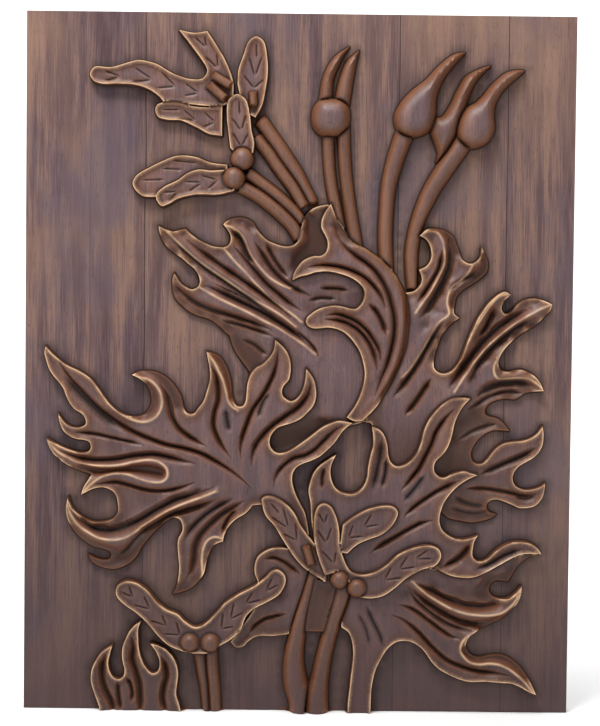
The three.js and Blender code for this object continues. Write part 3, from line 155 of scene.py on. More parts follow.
# Stage and lights, metres and watts: name, place, target, width, height, power
STAGE_FRONT = -12.0
STAGE_BEND = 3.4
STAGE_BEND_RADIUS = 0.7
STAGE_TOP = 6.0
STAGE_HALF_WIDTH = 12
STAGE_COLOUR = (0.9, 0.9, 0.9, 1)
LIGHTS = (
    ("key", (-0.5, -1.0, 1.7), (0, 0, 0.05), 0.8, 0.5, 36),
    ("fill", (1.8, -2.2, 0.6), (0, 0, 0), 1.2, 1.6, 7),
    ("rim", (-2.2, -0.7, 0.5), (0, 0, 0), 0.7, 1.8, 11),
    ("backdrop_light", (0, -0.6, 3.2), (0, 1.5, 0.8), 3.5, 1.0, 60),
    ("wall_light", (0, 2.0, 3.2), (0, 4.1, 0.2), 5.0, 1.0, 170),
)
WORLD_STRENGTH = 0.24

# Camera: place in metres, turns in radians, focal length in pixels of a 600 x 726 image
CAMERA_PLACE = (-0.0107, -2.0, 0.0779)
CAMERA_YAW = 0.00606
CAMERA_PITCH = -0.0386
CAMERA_ROLL = 0.01074
CAMERA_FOCAL = 1803.2

motifs = []  # back to front


def read_points(text):
    rows = []
    corners = []
    for item in text.split(","):
        numbers = [float(word) for word in item.replace("*", "").split()]
        rows.append((numbers + [0.0])[:3])
        corners.append("*" in item)
    return np.array(rows), corners


def smooth_run(points, closed=False, step=CURVE_STEP):
    """A centripetal Catmull-Rom curve through the points, at even steps."""
    if len(points) < 2:
        return points
    if closed:
        padded = np.vstack([points[-1], points, points[0], points[1]])
    else:
        padded = np.vstack([2 * points[0] - points[1], points, 2 * points[-1] - points[-2]])
    u = np.linspace(0, 1, SPLINE_PARTS, endpoint=False)[:, None]
    pieces = []
    for p0, p1, p2, p3 in zip(padded, padded[1:], padded[2:], padded[3:]):
        d0, d1, d2 = (max(np.linalg.norm(b - a), 1e-6) ** 0.5 for a, b in ((p0, p1), (p1, p2), (p2, p3)))
        t1 = ((p1 - p0) / d0 - (p2 - p0) / (d0 + d1) + (p2 - p1) / d1) * d1
        t2 = ((p2 - p1) / d1 - (p3 - p1) / (d1 + d2) + (p3 - p2) / d2) * d1
        pieces.append(p1 + t1 * u + (3 * (p2 - p1) - 2 * t1 - t2) * u**2 + (2 * (p1 - p2) + t1 + t2) * u**3)
    curve = np.vstack([*pieces, points[:1] if closed else points[-1:]])
    run = np.concatenate([[0], np.cumsum(np.linalg.norm(np.diff(curve, axis=0), axis=1))])
    count = max(2, math.ceil(run[-1] / step))
    stops = np.linspace(0, run[-1], count + 1)
    return np.column_stack([np.interp(stops, run, curve[:, k]) for k in range(3)])


def smooth_outline(text):
    points, corners = read_points(text)
    if not any(corners):
        return smooth_run(points, closed=True)[:-1, :2]
    first = corners.index(True)
    points = np.vstack([points[first:], points[: first + 1]])
    corners = corners[first:] + corners[: first + 1]
    at = [i for i, corner in enumerate(corners) if corner]
    return np.vstack([smooth_run(points[a : b + 1])[:-1] for a, b in zip(at, at[1:])])[:, :2]


def nearest(points, line, closed=False, chunk=3000):
    """Distance to a line, how far along it that is, and the line's width there."""
    if closed:
        line = np.vstack([line, line[:1]])
    if line.shape[1] == 2:
        line = np.column_stack([line, np.zeros(len(line))])
    a = line[:-1]
    step = line[1:] - a
    length2 = np.maximum((step[:, :2] ** 2).sum(1), 1e-12)
    gap, along, width = (np.empty(len(points)) for _ in range(3))
    for start in range(0, len(points), chunk):
        block = points[start : start + chunk]
        dx = block[:, 0, None] - a[:, 0]
        dz = block[:, 1, None] - a[:, 1]
        share = np.clip((dx * step[:, 0] + dz * step[:, 1]) / length2, 0, 1)
        square = (dx - share * step[:, 0]) ** 2 + (dz - share * step[:, 1]) ** 2
        best = square.argmin(1)
        rows = np.arange(len(block))
        at = share[rows, best]
        gap[start : start + chunk] = np.sqrt(square[rows, best])
        along[start : start + chunk] = (best + at) / len(a)
        width[start : start + chunk] = a[best, 2] + at * step[best, 2]
    return gap, along, width


def read_strokes(lines):
    strokes = []
    for line in lines:
        label, text = line.split(":")
        kind, *numbers = label.split()
        if kind == "veins":
            for vein in text.split(","):
                x, z, ax, az, bx, bz = (float(word) for word in vein.split())
                for tip in ((ax, az, 0), (bx, bz, 0)):
                    route = smooth_run(np.array([(x, z, 0), tip], float), step=STROKE_STEP)
                    strokes.append({"kind": "cut", "width": VEIN_WIDTH, "depth": VEIN_DEPTH, "route": route})
        elif kind == "cut":
            route = smooth_run(read_points(text)[0], step=STROKE_STEP)
            width, depth = (float(number) for number in numbers)
            strokes.append({"kind": kind, "width": width, "depth": depth, "route": route})
        else:
            stops = read_points(text)[0]
            route = stops if kind == "level" else smooth_run(stops)
            strokes.append({"kind": kind, "level": float(numbers[0]), "route": route})
    return strokes


def cut_depth(strokes, valley_bite, points):
    """The depth of the cuts, and how deep in one each point lies, from 0 to 1."""
    depth = np.zeros(len(points))
    share = np.zeros(len(points))
    for stroke in strokes:
        if stroke["kind"] != "cut":
            continue
        gap, along, _ = nearest(points, stroke["route"])
        taper = np.minimum(1, (np.minimum(along, 1 - along) + 0.02) / CUT_TAPER)
        reach = stroke["width"] * CUT_SPREAD * np.sqrt(taper)
        bite = taper * np.clip(1 - gap / reach, 0, 1)
        valley = valley_bite * taper * np.clip(1 - gap / VALLEY_REACH, 0, 1) ** 2
        depth = np.maximum(depth, stroke["depth"] * (CUT_BITE * bite + valley))
        share = np.maximum(share, bite * min(1, stroke["depth"] / 2))
    return depth, share


def smooth_step(share):
    share = np.clip(share, 0, 1)
    return share * share * (3 - 2 * share)


def grown(value, band):
    return (value - band[0]) / band[1]


def add_motif(name, kind, outline, strokes, height):
    motifs.append({"name": name, "kind": kind, "outline": outline, "strokes": strokes, "height": height})


def leaf(name, outline_text, lines):
    """A lobed leaf: levels hold spots at a height, crests and floors hold lines, blended by nearness."""
    outline = smooth_outline(outline_text)
    strokes = read_strokes(lines)

    def height(points, rim):
        sums, weights, ridge = (np.zeros(len(points)) for _ in range(3))
        for stroke in strokes:
            if stroke["kind"] == "level":
                for x, z, _ in stroke["route"]:
                    square = (points[:, 0] - x) ** 2 + (points[:, 1] - z) ** 2
                    weight = (square + SPOT_SOFTNESS**2) ** -1.5
                    sums += weight * stroke["level"]
                    weights += weight
            elif stroke["kind"] != "cut":
                gap = nearest(points, stroke["route"])[0]
                weight = LINE_PULL * (gap**2 + LINE_SOFTNESS**2) ** -1.5
                sums += weight * stroke["level"]
                weights += weight
                if stroke["kind"] == "crest":
                    ridge = np.maximum(ridge, 1 - gap / CREST_REACH)
        depth, share = cut_depth(strokes, VALLEY_BITE, points)
        dish = LEAF_DISH * smooth_step(rim / LEAF_DISH_REACH)
        return np.maximum(LOWEST_LEAF, sums / weights + CREST_RISE * ridge - dish - depth), share, ridge

    add_motif(name, "leaf", outline, strokes, height)


def wing(name, top, outline_text, lines):
    """A flat seed wing with a raised rim and chevron veins."""
    strokes = read_strokes(lines)

    def height(points, rim):
        depth, share = cut_depth(strokes, 0, points)
        dish = WING_DISH * smooth_step((rim - WING_RIM) / WING_DISH_REACH)
        return top - dish - depth, share, np.zeros(len(points))

    add_motif(name, "wing", smooth_outline(outline_text), strokes, height)


def bud(name, base, fullness, outline_text):
    """A swelling form whose back rises from its outline in a round."""

    def height(points, rim):
        share = np.minimum(1, rim / fullness)
        return base + fullness * np.sqrt(1 - (1 - share) ** 2), np.zeros(len(points)), np.zeros(len(points))

    add_motif(name, "bud", smooth_outline(outline_text), [], height)


def stem(name, base, text):
    """A round stem along a centre line that gives its width at each point."""
    spine = smooth_run(read_points(text)[0])
    tangent = np.gradient(spine[:, :2], axis=0)
    tangent /= np.linalg.norm(tangent, axis=1)[:, None]
    normal = np.column_stack([-tangent[:, 1], tangent[:, 0]]) * spine[:, 2:] / 2
    outline = np.vstack([spine[:, :2] + normal, (spine[:, :2] - normal)[::-1]])

    def height(points, rim):
        gap, _, width = nearest(points, spine)
        across = np.clip(1 - (gap / (width / 2)) ** 2, 0, 1)
        rise = base + STEM_FULLNESS * width / 2 * np.sqrt(across)
        return rise, np.zeros(len(points)), np.zeros(len(points))

    add_motif(name, "stem", outline, [], height)


peg = stem


def ball(name, base, x, z, radius):
    angle = np.linspace(0, 2 * math.pi, math.ceil(2 * math.pi * radius / CURVE_STEP), endpoint=False)
    outline = np.column_stack([x + radius * np.cos(angle), z + radius * np.sin(angle)])

    def height(points, rim):
        gap = np.hypot(points[:, 0] - x, points[:, 1] - z)
        rise = base + radius * np.sqrt(np.clip(1 - (gap / radius) ** 2, 0, 1))
        return rise, np.zeros(len(points)), np.zeros(len(points))

    add_motif(name, "ball", outline, [], height)


stem("bud_stem_a1", 1.5,
  "29 262 12, 30.5 225 12, 33 200 12, 38 175 12, 44 148 12")
stem("bud_stem_a2", 2.5,
  "46 262 13, 47.5 225 13, 50 200 13, 54 172 13, 62 128 13")
stem("bud_stem_b", 2.5,
  "116 262 20, 108 240 19, 103 225 18, 99 210 17, 96 196 16, 94 175 15, 93 135 15, 95 104 14")
bud("bud_c", 1.5, 15,
  """147 222*, 149 231, 145 244, 141 256, 146 270, 153 272, 162 285, 169 300, 179 316, 196 325,
   206 328*, 191 312, 183 296, 178 280, 172 262, 166 246, 157 232""")
stem("bud_stem_d", 3,
  """178 246 20, 166 228 19, 155 212 19, 145 196 18, 137 180 17, 130 163 15, 125 145 14, 122 125 14,
   122 105 13, 123 84 11""")
bud("bud_b", 2.5, 18,
  """104 257, 101 271, 107 285, 119 299, 135 312, 150 328, 166 340, 178 342*, 165 327, 153 310,
   147 292, 146 272, 141 258, 127 250, 112 250""")
bud("bud_d", 3, 18,
  """170 250, 170 262, 173 272, 180 282, 190 288, 198 296, 205 305, 213 313, 222 320, 232 323,
   243 323*, 233 314, 224 306, 216 296, 211 285, 210 272, 211 260, 207 249, 198 241, 184 238, 174 243""")
bud("bud_a_horn_1", 1.5, 10,
  "18 280, 20 295, 22 309, 28 325, 38 338, 52 347*, 45 337, 39 324, 34 310, 33 292, 30 280")
bud("bud_a_horn_2", 2.5, 10,
  "36 280, 38 298, 42 315, 49 331, 62 343*, 59 331, 56 313, 53 292, 50 280")
bud("bud_a", 2.5, 19,
  """11 268, 13 280, 20 288, 32 290, 44 288, 51 281, 53 268, 50 258, 42 251, 31 249, 20 251, 13 258""")
wing("wing_1", 12,
  """-230 313, -225 321, -207 321, -186 327, -177 329, -158 325, -140 315, -120 309, -108 310,
   -103 318, -107 327, -118 342, -134 362*, -117 359, -103 361*, -95 349, -85 333, -78 318, -74 305*,
   -74 285*, -90 279*, -150 284*, -153 288, -165 297, -181 302, -199 303, -218 303, -226 306""", [
  "veins: -197 311 -214 317 -214 306, -162 308 -183 322 -186 305, -137 301 -153 317 -158 299",
  "veins: -112 294 -127 305 -128 291, -104 343 -117 355 -106 356, -91 321 -106 334 -93 338"])
wing("wing_2", 10,
  """-159 275, -157 281, -148 284, -133 284, -118 280, -100 279, -86 281*, -86 248*, -100 250,
   -114 257, -130 264, -146 265, -156 268""", [
  "veins: -115 265 -128 276 -134 266, -94 263 -106 274 -108 257",
  "cut 2.4 1.6: -152 276, -132 276"])
wing("wing_3", 11,
  """-70 305*, -69 320, -64 335, -58 351, -50 356, -42 351, -38 335, -37 317, -39 300, -43 281,
   -50 268*, -64 276*""", [
  "veins: -51 312 -58 336 -43 336, -52 300 -64 315 -41 310",
  "cut 2.4 1.6: -50 350, -49 332"])
peg("peg_1", 13,
  "-96 313 9, -77 302 9")
peg("peg_2", 13,
  "-100 303 9, -83 288 9")
peg("peg_3", 13,
  "-53 295 8, -52 281 8")
stem("wing_stem_1", 2,
  "-44 265 15, -35 252 15, -24 237 15, -14 222 15, -4 207 15, 3 193 15, 12 176 15")
stem("wing_stem_2", 3,
  "-50 247 13, -36 231 13, -27 218 13, -17 205 13, -8 193 13, 4 172 13")
stem("wing_stem_3", 4,
  "-58 209 12, -45 199 12, -30 188 12, -17 177 12, -5 165 12, 2 155 12")
stem("wing_stem_4", 3,
  "-66 194 14, -47 184 14, -33 174 14, -20 163 14, -9 152 14, 0 138 14")
wing("wing_4", 16,
  """-77 235*, -79 250, -81 268, -80 285, -76 290, -70 293, -65 291, -60 286, -56 271, -54 254,
   -51 240, -52 230*, -68 224*""", [
  "veins: -65 253 -76 268 -60 272, -65 236 -75 252 -57 252",
  "cut 2.4 1.6: -68 287, -67 270"])
wing("wing_5", 11,
  """-80 217*, -98 219, -115 225, -135 226, -151 220, -163 214, -178 205, -183 197, -181 190, -172 182,
   -160 181*, -120 190*, -80 195*""", [
  "cut 2.4 1.6: -140 221, -112 218",
  "cut 2.4 1.6: -152 212, -128 211",
  "cut 2.4 1.6: -174 199, -148 200"])
wing("wing_6", 16,
  """-82 211*, -98 210, -111 211, -123 207, -134 199, -148 192, -156 185, -157 179, -151 171, -144 173,
   -131 180, -112 184, -91 184, -73 188*, -68 200*""", [
  "veins: -134 187 -149 186 -144 175, -107 197 -127 198 -122 187, -90 200 -109 205 -101 190"])
ball("ball_1", 10, -64, 223.5, 12.3)
ball("ball_2", 11, -73, 202.5, 11.8)
leaf("lower_right_leaf",
  """150 -222*, 180 -220, 215 -212, 250 -206, 266 -205*, 252 -212, 244 -219, 238 -228, 233 -237*,
   226 -236, 219 -236, 214 -240, 212 -246, 215 -252, 222 -255, 231 -255, 239 -250, 247 -241*,
   246 -250, 243 -258, 238 -266, 232 -273, 224 -279, 214 -284, 205 -288, 197 -292, 190 -298,
   187 -306, 189 -313, 195 -319, 203 -321, 213 -319, 224 -318, 234 -321, 244 -328, 252 -337,
   259 -348, 265 -361*, 255 -357, 246 -352, 238 -349, 226 -348, 208 -347, 190 -347, 178 -344,
   167 -339, 157 -333, 149 -325, 142 -315, 135 -308, 126 -303, 117 -302, 109 -304, 100 -312, 94 -322,
   89 -332, 86 -342, 84 -354, 83 -370, 83 -392*, 57 -392*, 58 -370, 60 -350, 62 -330, 63 -315,
   61 -302, 57 -293, 50 -288*, 45 -260*, 60 -235*, 100 -200*""", [
  """crest 15: 127 -236, 133 -242, 143 -250, 155 -258, 170 -266, 185 -271, 200 -273, 213 -273,
   226 -270, 235 -263, 241 -255, 246 -244""",
  """crest 12: 197 -292, 188 -297, 182 -305, 181 -313, 185 -320, 192 -326, 202 -328, 213 -327,
   223 -328, 233 -332, 243 -339, 251 -346, 258 -354, 264 -361""",
  "level 10: 263 -206, 245 -211, 220 -225, 200 -235, 180 -237, 160 -232",
  "floor 3: 256 -212, 247 -219, 241 -228, 236 -236, 222 -238, 210 -240, 206 -247",
  "floor 3: 240 -268, 230 -276, 218 -282, 206 -287",
  "level 6: 180 -248, 150 -242, 216 -262, 195 -264, 175 -258",
  "level 13: 70 -262, 78 -285, 82 -300, 74 -330, 70 -375",
  "level 9: 185 -284, 160 -276, 140 -262, 120 -248",
  "level 12: 165 -296, 145 -285, 125 -270, 105 -256",
  "level 12: 170 -322, 195 -340, 225 -342, 245 -350",
  "level 14: 130 -297, 112 -298, 150 -318, 118 -285",
  "floor 3: 186 -313, 193 -320, 204 -323, 218 -321, 235 -325, 246 -333, 254 -344",
  "cut 6 5: 122 -242, 140 -257, 160 -270, 180 -280, 200 -284, 220 -281",
  "cut 6 6: 128 -237, 145 -246, 165 -256, 185 -263, 205 -265, 225 -262",
  "cut 4 3.5: 112 -262, 128 -268, 145 -280, 160 -291, 172 -298, 182 -300",
  """cut 4.5 4: 104 -273, 120 -281, 135 -294, 150 -310, 165 -323, 182 -331, 200 -336, 220 -338,
   238 -341""",
  "cut 4 2.5: 120 -240, 132 -258, 148 -272, 165 -283, 185 -290, 198 -291",
  "cut 7 1.8: 76 -262, 84 -280, 92 -296, 97 -312",
  "cut 7 1.5: 66 -270, 76 -288, 82 -310"])
leaf("lower_middle_leaf",
  """-17 -201, -27 -202, -36 -206, -43 -212, -46 -220, -46 -230, -43 -238*, -36 -250, -50 -275,
   -72 -306*, -66 -312, -58 -311, -53 -306, -46 -301, -38 -299, -25 -299, -10 -297*, 10 -290*,
   25 -230*, 5 -205*""", [
  "level 9: -40 -220, -25 -208, -5 -225, 5 -245",
  "level 8: -20 -290, -35 -270, -20 -250, -45 -295, -65 -308",
  "level 11: 0 -270, -5 -235, -15 -265",
  "cut 4 3: -52 -297, -45 -288, -35 -281, -25 -278, -10 -274",
  "cut 4 3: -36 -214, -25 -213, -15 -217, -5 -224, 4 -231"])
leaf("right_leaf",
  """112 80*, 118 80, 125 82, 131 88, 133 95, 130 105*, 138 109, 143 118, 142 130, 137 138, 130 142*,
   138 149, 148 150, 160 147, 168 141, 171 134, 174 126, 178 116, 186 112, 193 115, 197 121,
   198 130*, 203 121, 206 112, 204 103, 197 96, 187 89, 178 83, 172 76, 170 66, 169 58, 175 53*,
   165 45, 156 33, 151 20, 148 6, 148 -2, 153 -7, 160 -8, 168 -4, 175 5, 181 20, 187 36, 195 53,
   206 69, 217 79, 224 82, 230 79*, 224 72, 221 63, 225 58, 231 60, 238 68, 246 73, 256 75, 266 73,
   275 69*, 274 62, 267 54, 259 46, 249 40, 239 33, 229 24, 221 14, 218 6, 219 0, 225 -5, 233 -5,
   241 -3, 250 -5, 258 -10, 264 -17, 268 -26*, 258 -27, 248 -29, 241 -34, 237 -36*, 226 -35, 217 -37,
   209 -41, 205 -47, 205 -52, 210 -55, 218 -57, 225 -62, 230 -68, 232 -71*, 224 -70, 215 -70,
   207 -73, 199 -79, 193 -87, 190 -96, 192 -104, 197 -107, 203 -106, 208 -101, 213 -94, 219 -88,
   226 -84, 236 -82, 246 -81, 255 -78, 262 -73, 268 -64*, 269 -75, 268 -85, 265 -92, 259 -99,
   251 -104, 243 -109, 238 -115, 236 -122, 238 -129, 243 -133, 250 -135, 259 -134, 267 -131,
   272 -127*, 271 -136, 269 -143, 265 -149, 260 -153, 252 -155, 243 -155, 234 -151, 226 -148,
   218 -146, 211 -148, 208 -153, 210 -159, 219 -163*, 213 -167, 204 -170, 192 -172, 178 -170,
   166 -167, 158 -160*, 145 -125*, 120 -122*, 95 -116*, 89 -90*, 85 -72*, 79 -63*, 72 -62*, 90 0*,
   100 40*""", [
  """crest 14: 131 143, 140 147, 148 146, 154 139, 157 128, 158 118, 156 108, 151 98, 146 88, 139 76,
   132 66, 126 57""",
  """crest 12: 197 129, 195 117, 189 112, 184 102, 175 93, 167 87, 163 80, 161 70, 163 57, 152 47,
   144 34, 137 21, 129 8, 122 -3, 114 -12""",
  "crest 15: 229 80, 218 77, 208 67, 199 54, 190 38, 182 22, 176 8, 168 -4, 159 -8",
  "crest 15: 275 69, 262 63, 248 55, 234 46, 220 35, 207 23, 195 9, 184 -6, 175 -20, 170 -28",
  "crest 13: 268 -25, 260 -18, 251 -13, 240 -12, 228 -13, 218 -13, 214 -8, 213 0, 217 9",
  "floor 3: 144 150, 154 149, 163 144, 170 135, 173 126",
  "floor 3: 202 120, 205 110, 199 99, 190 91, 181 84, 174 77, 170 68",
  "level 4: 270 58, 256 46, 240 34",
  "level 9: 122 82, 136 100, 145 125, 138 140",
  "level 7: 165 120, 166 100, 155 80, 145 62, 138 45",
  "level 3: 223 0, 235 -4, 252 -7, 264 -20, 150 12, 155 30, 166 45",
  "level 6: 226 70, 230 62, 246 70, 262 71",
  "level 8: 210 62, 215 45, 196 30, 180 0, 222 28, 206 10, 190 -12",
  "level 10: 120 40, 110 0, 130 -20, 150 -30",
  "level 9: 230 -20, 210 -26, 190 -38",
  "level 5: 252 -27, 232 -33, 212 -40, 195 -50, 180 -60",
  "level 6: 225 -66, 205 -66, 190 -74, 178 -85",
  "level 4: 165 -100, 180 -108, 160 -112, 172 -75",
  "level 10: 215 -105, 235 -97, 255 -88, 265 -75",
  "level 8: 215 -125, 240 -118, 200 -118",
  "level 9: 255 -145, 235 -143, 210 -140, 190 -130",
  "level 6: 175 -140, 185 -155, 205 -155, 168 -158",
  "level 3: 180 -168, 205 -167, 216 -162",
  "cut 5 5: 155 128, 153 110, 146 95, 138 82, 128 68",
  "cut 8 6: 163 140, 164 115, 158 95, 149 78, 139 62, 131 52",
  "cut 5 4: 196 106, 186 99, 175 93, 168 87, 164 80",
  "cut 7 5: 158 50, 150 38, 141 22, 132 5, 122 -10, 112 -24, 103 -36",
  "cut 5 5: 145 -13, 138 -25, 128 -40, 117 -54",
  "cut 6 5: 214 64, 208 52, 202 40, 196 33",
  "cut 8 7: 255 66, 238 56, 222 45, 205 30, 190 13, 176 -6, 164 -24",
  "cut 8 5: 262 55, 244 47, 226 34, 209 18, 196 2, 186 -18",
  "cut 9 6: 258 -21, 245 -17, 230 -17, 215 -20, 203 -27, 195 -33",
  "cut 5 3: 248 -30, 230 -27, 212 -32, 198 -40, 184 -48",
  "cut 4 3: 218 -63, 205 -66, 190 -72, 175 -82",
  "cut 7 4: 262 -88, 248 -97, 232 -104, 214 -112, 200 -119",
  "cut 4 4: 184 -134, 200 -134, 218 -136, 235 -139, 250 -142, 264 -139",
  "cut 4 2.5: 262 -141, 250 -145, 238 -142",
  "cut 5 4: 172 -142, 182 -149, 194 -153, 206 -154",
  "cut 5 4: 168 -155, 180 -160, 194 -162, 210 -160"])
leaf("high_leaf",
  """-155 150*, -147 146, -138 144, -130 146, -125 147*, -120 142, -112 136, -102 131, -94 128,
   -84 127*, -79 129, -76 134, -76 140, -79 146, -84 152*, -80 156, -73 159, -65 160, -57 158,
   -51 154, -47 147, -42 141, -35 135, -28 132, -20 129.5, -13 129, -6 131, -2 136, 0 142, 1 150,
   3 158, 7 165, 13 170, 20 173, 30 175*, 60 130*, 100 60*, 100 0*, 72 -62*, 46 -70*, 10 -86*,
   -18 -99*, -38 -96*, -46 -60*, -54 -8*, -60 0, -66 8, -71 16, -74 24, -76 31*, -80 34, -85 39,
   -91 44, -97 48, -104 50.5, -113 53, -122 58, -129 64, -135 70, -138 77, -139 85, -139 92,
   -137 99*, -134 94, -130 88, -124 83.5, -117 81, -111 84, -109 90, -111 97, -115 103, -121 108,
   -128 114, -135 119, -143 125, -149 132, -153 141""", [
  """crest 15: -149 148, -135 134, -120 120, -105 108, -90 98, -75 88, -60 78, -45 68, -30 60, -15 50,
   -4 41""",
  "crest 12: -84 127, -78 120, -70 111, -60 101, -50 90, -40 80, -30 71, -18 62, -5 53, 3 46",
  "crest 13: -110 84, -100 78, -85 70, -70 63, -55 56, -40 48, -25 41, -10 32, 5 22, 17 12",
  """crest 13: -83 151, -75 149, -67 144, -61 136, -57 126, -51 115, -42 104, -32 94, -22 88, -10 83""",
  "level 3: -152 147, -140 146, -151 136, -138 122, -76 154, -66 157, -54 153",
  "level 7: -126 144, -105 131, -90 124, -118 108, -113 98",
  "level 9: -100 118, -75 100, -50 84, -25 68",
  "level 9: -60 120, -40 110, -20 100, -35 130, -15 112",
  "level 8: -135 90, -125 72, -105 60, -85 50, -65 46, -45 40",
  "level 4: -137 80, -128 66, -108 54, -92 47, -80 37",
  "level 4: -70 22, -60 8, -50 0",
  "level 12: 0 140, 5 155, 15 168, -12 130",
  "floor 3: 9 160, 13 148, 17 137, 14 127, 6 119, -2 111",
  "level 11: -5 92, 20 92, 40 90, 60 84",
  "level 8: 20 72, 40 74, 62 76, 10 62",
  "level 12: 20 30, 30 20, 45 10, 40 35",
  "level 10: 30 -20, 45 -20, 30 -50, 50 -45, 62 -10, 25 0",
  "level 9: -30 0, -20 20, 0 0, 10 -40",
  "level 3: -34 -80, -22 -86, -8 -80, 8 -74, 26 -68",
  "cut 5 4: -125 136, -110 124, -95 113, -80 103, -65 93, -50 83, -35 72, -20 61, -8 50",
  "cut 8 5: -148 143, -133 129, -117 115, -102 103, -87 93, -72 83, -57 73, -42 63, -27 54",
  "cut 7 5: -104 86, -90 80, -75 73, -60 66, -45 59, -30 51, -15 42, 0 31, 12 20",
  "cut 5 4: -72 128, -60 115, -48 101, -36 88, -24 78, -12 68, 4 58",
  "cut 4 3: -95 88, -75 79, -55 69, -35 57, -15 45",
  "cut 5 4: -50 135, -40 118, -30 103, -20 93, -8 85, 13 75",
  "cut 8 6: -78 147, -68 140, -62 130, -56 117, -48 106",
  "cut 5 3: -38 134, -30 118, -22 106, -12 94",
  "cut 5 4: -137 86, -125 75, -112 66, -98 60, -80 55, -60 49, -40 42, -28 36",
  "cut 4 3: -85 48, -70 44, -55 40, -40 35, -28 30",
  "cut 4 3: -62 27, -50 22, -40 14, -34 10",
  "cut 4 3: 22 84, 40 84, 54 82",
  "cut 4 2: 10 70, 24 73, 40 72",
  "cut 3 3: -8 40, 5 30, 15 20, 22 10"])
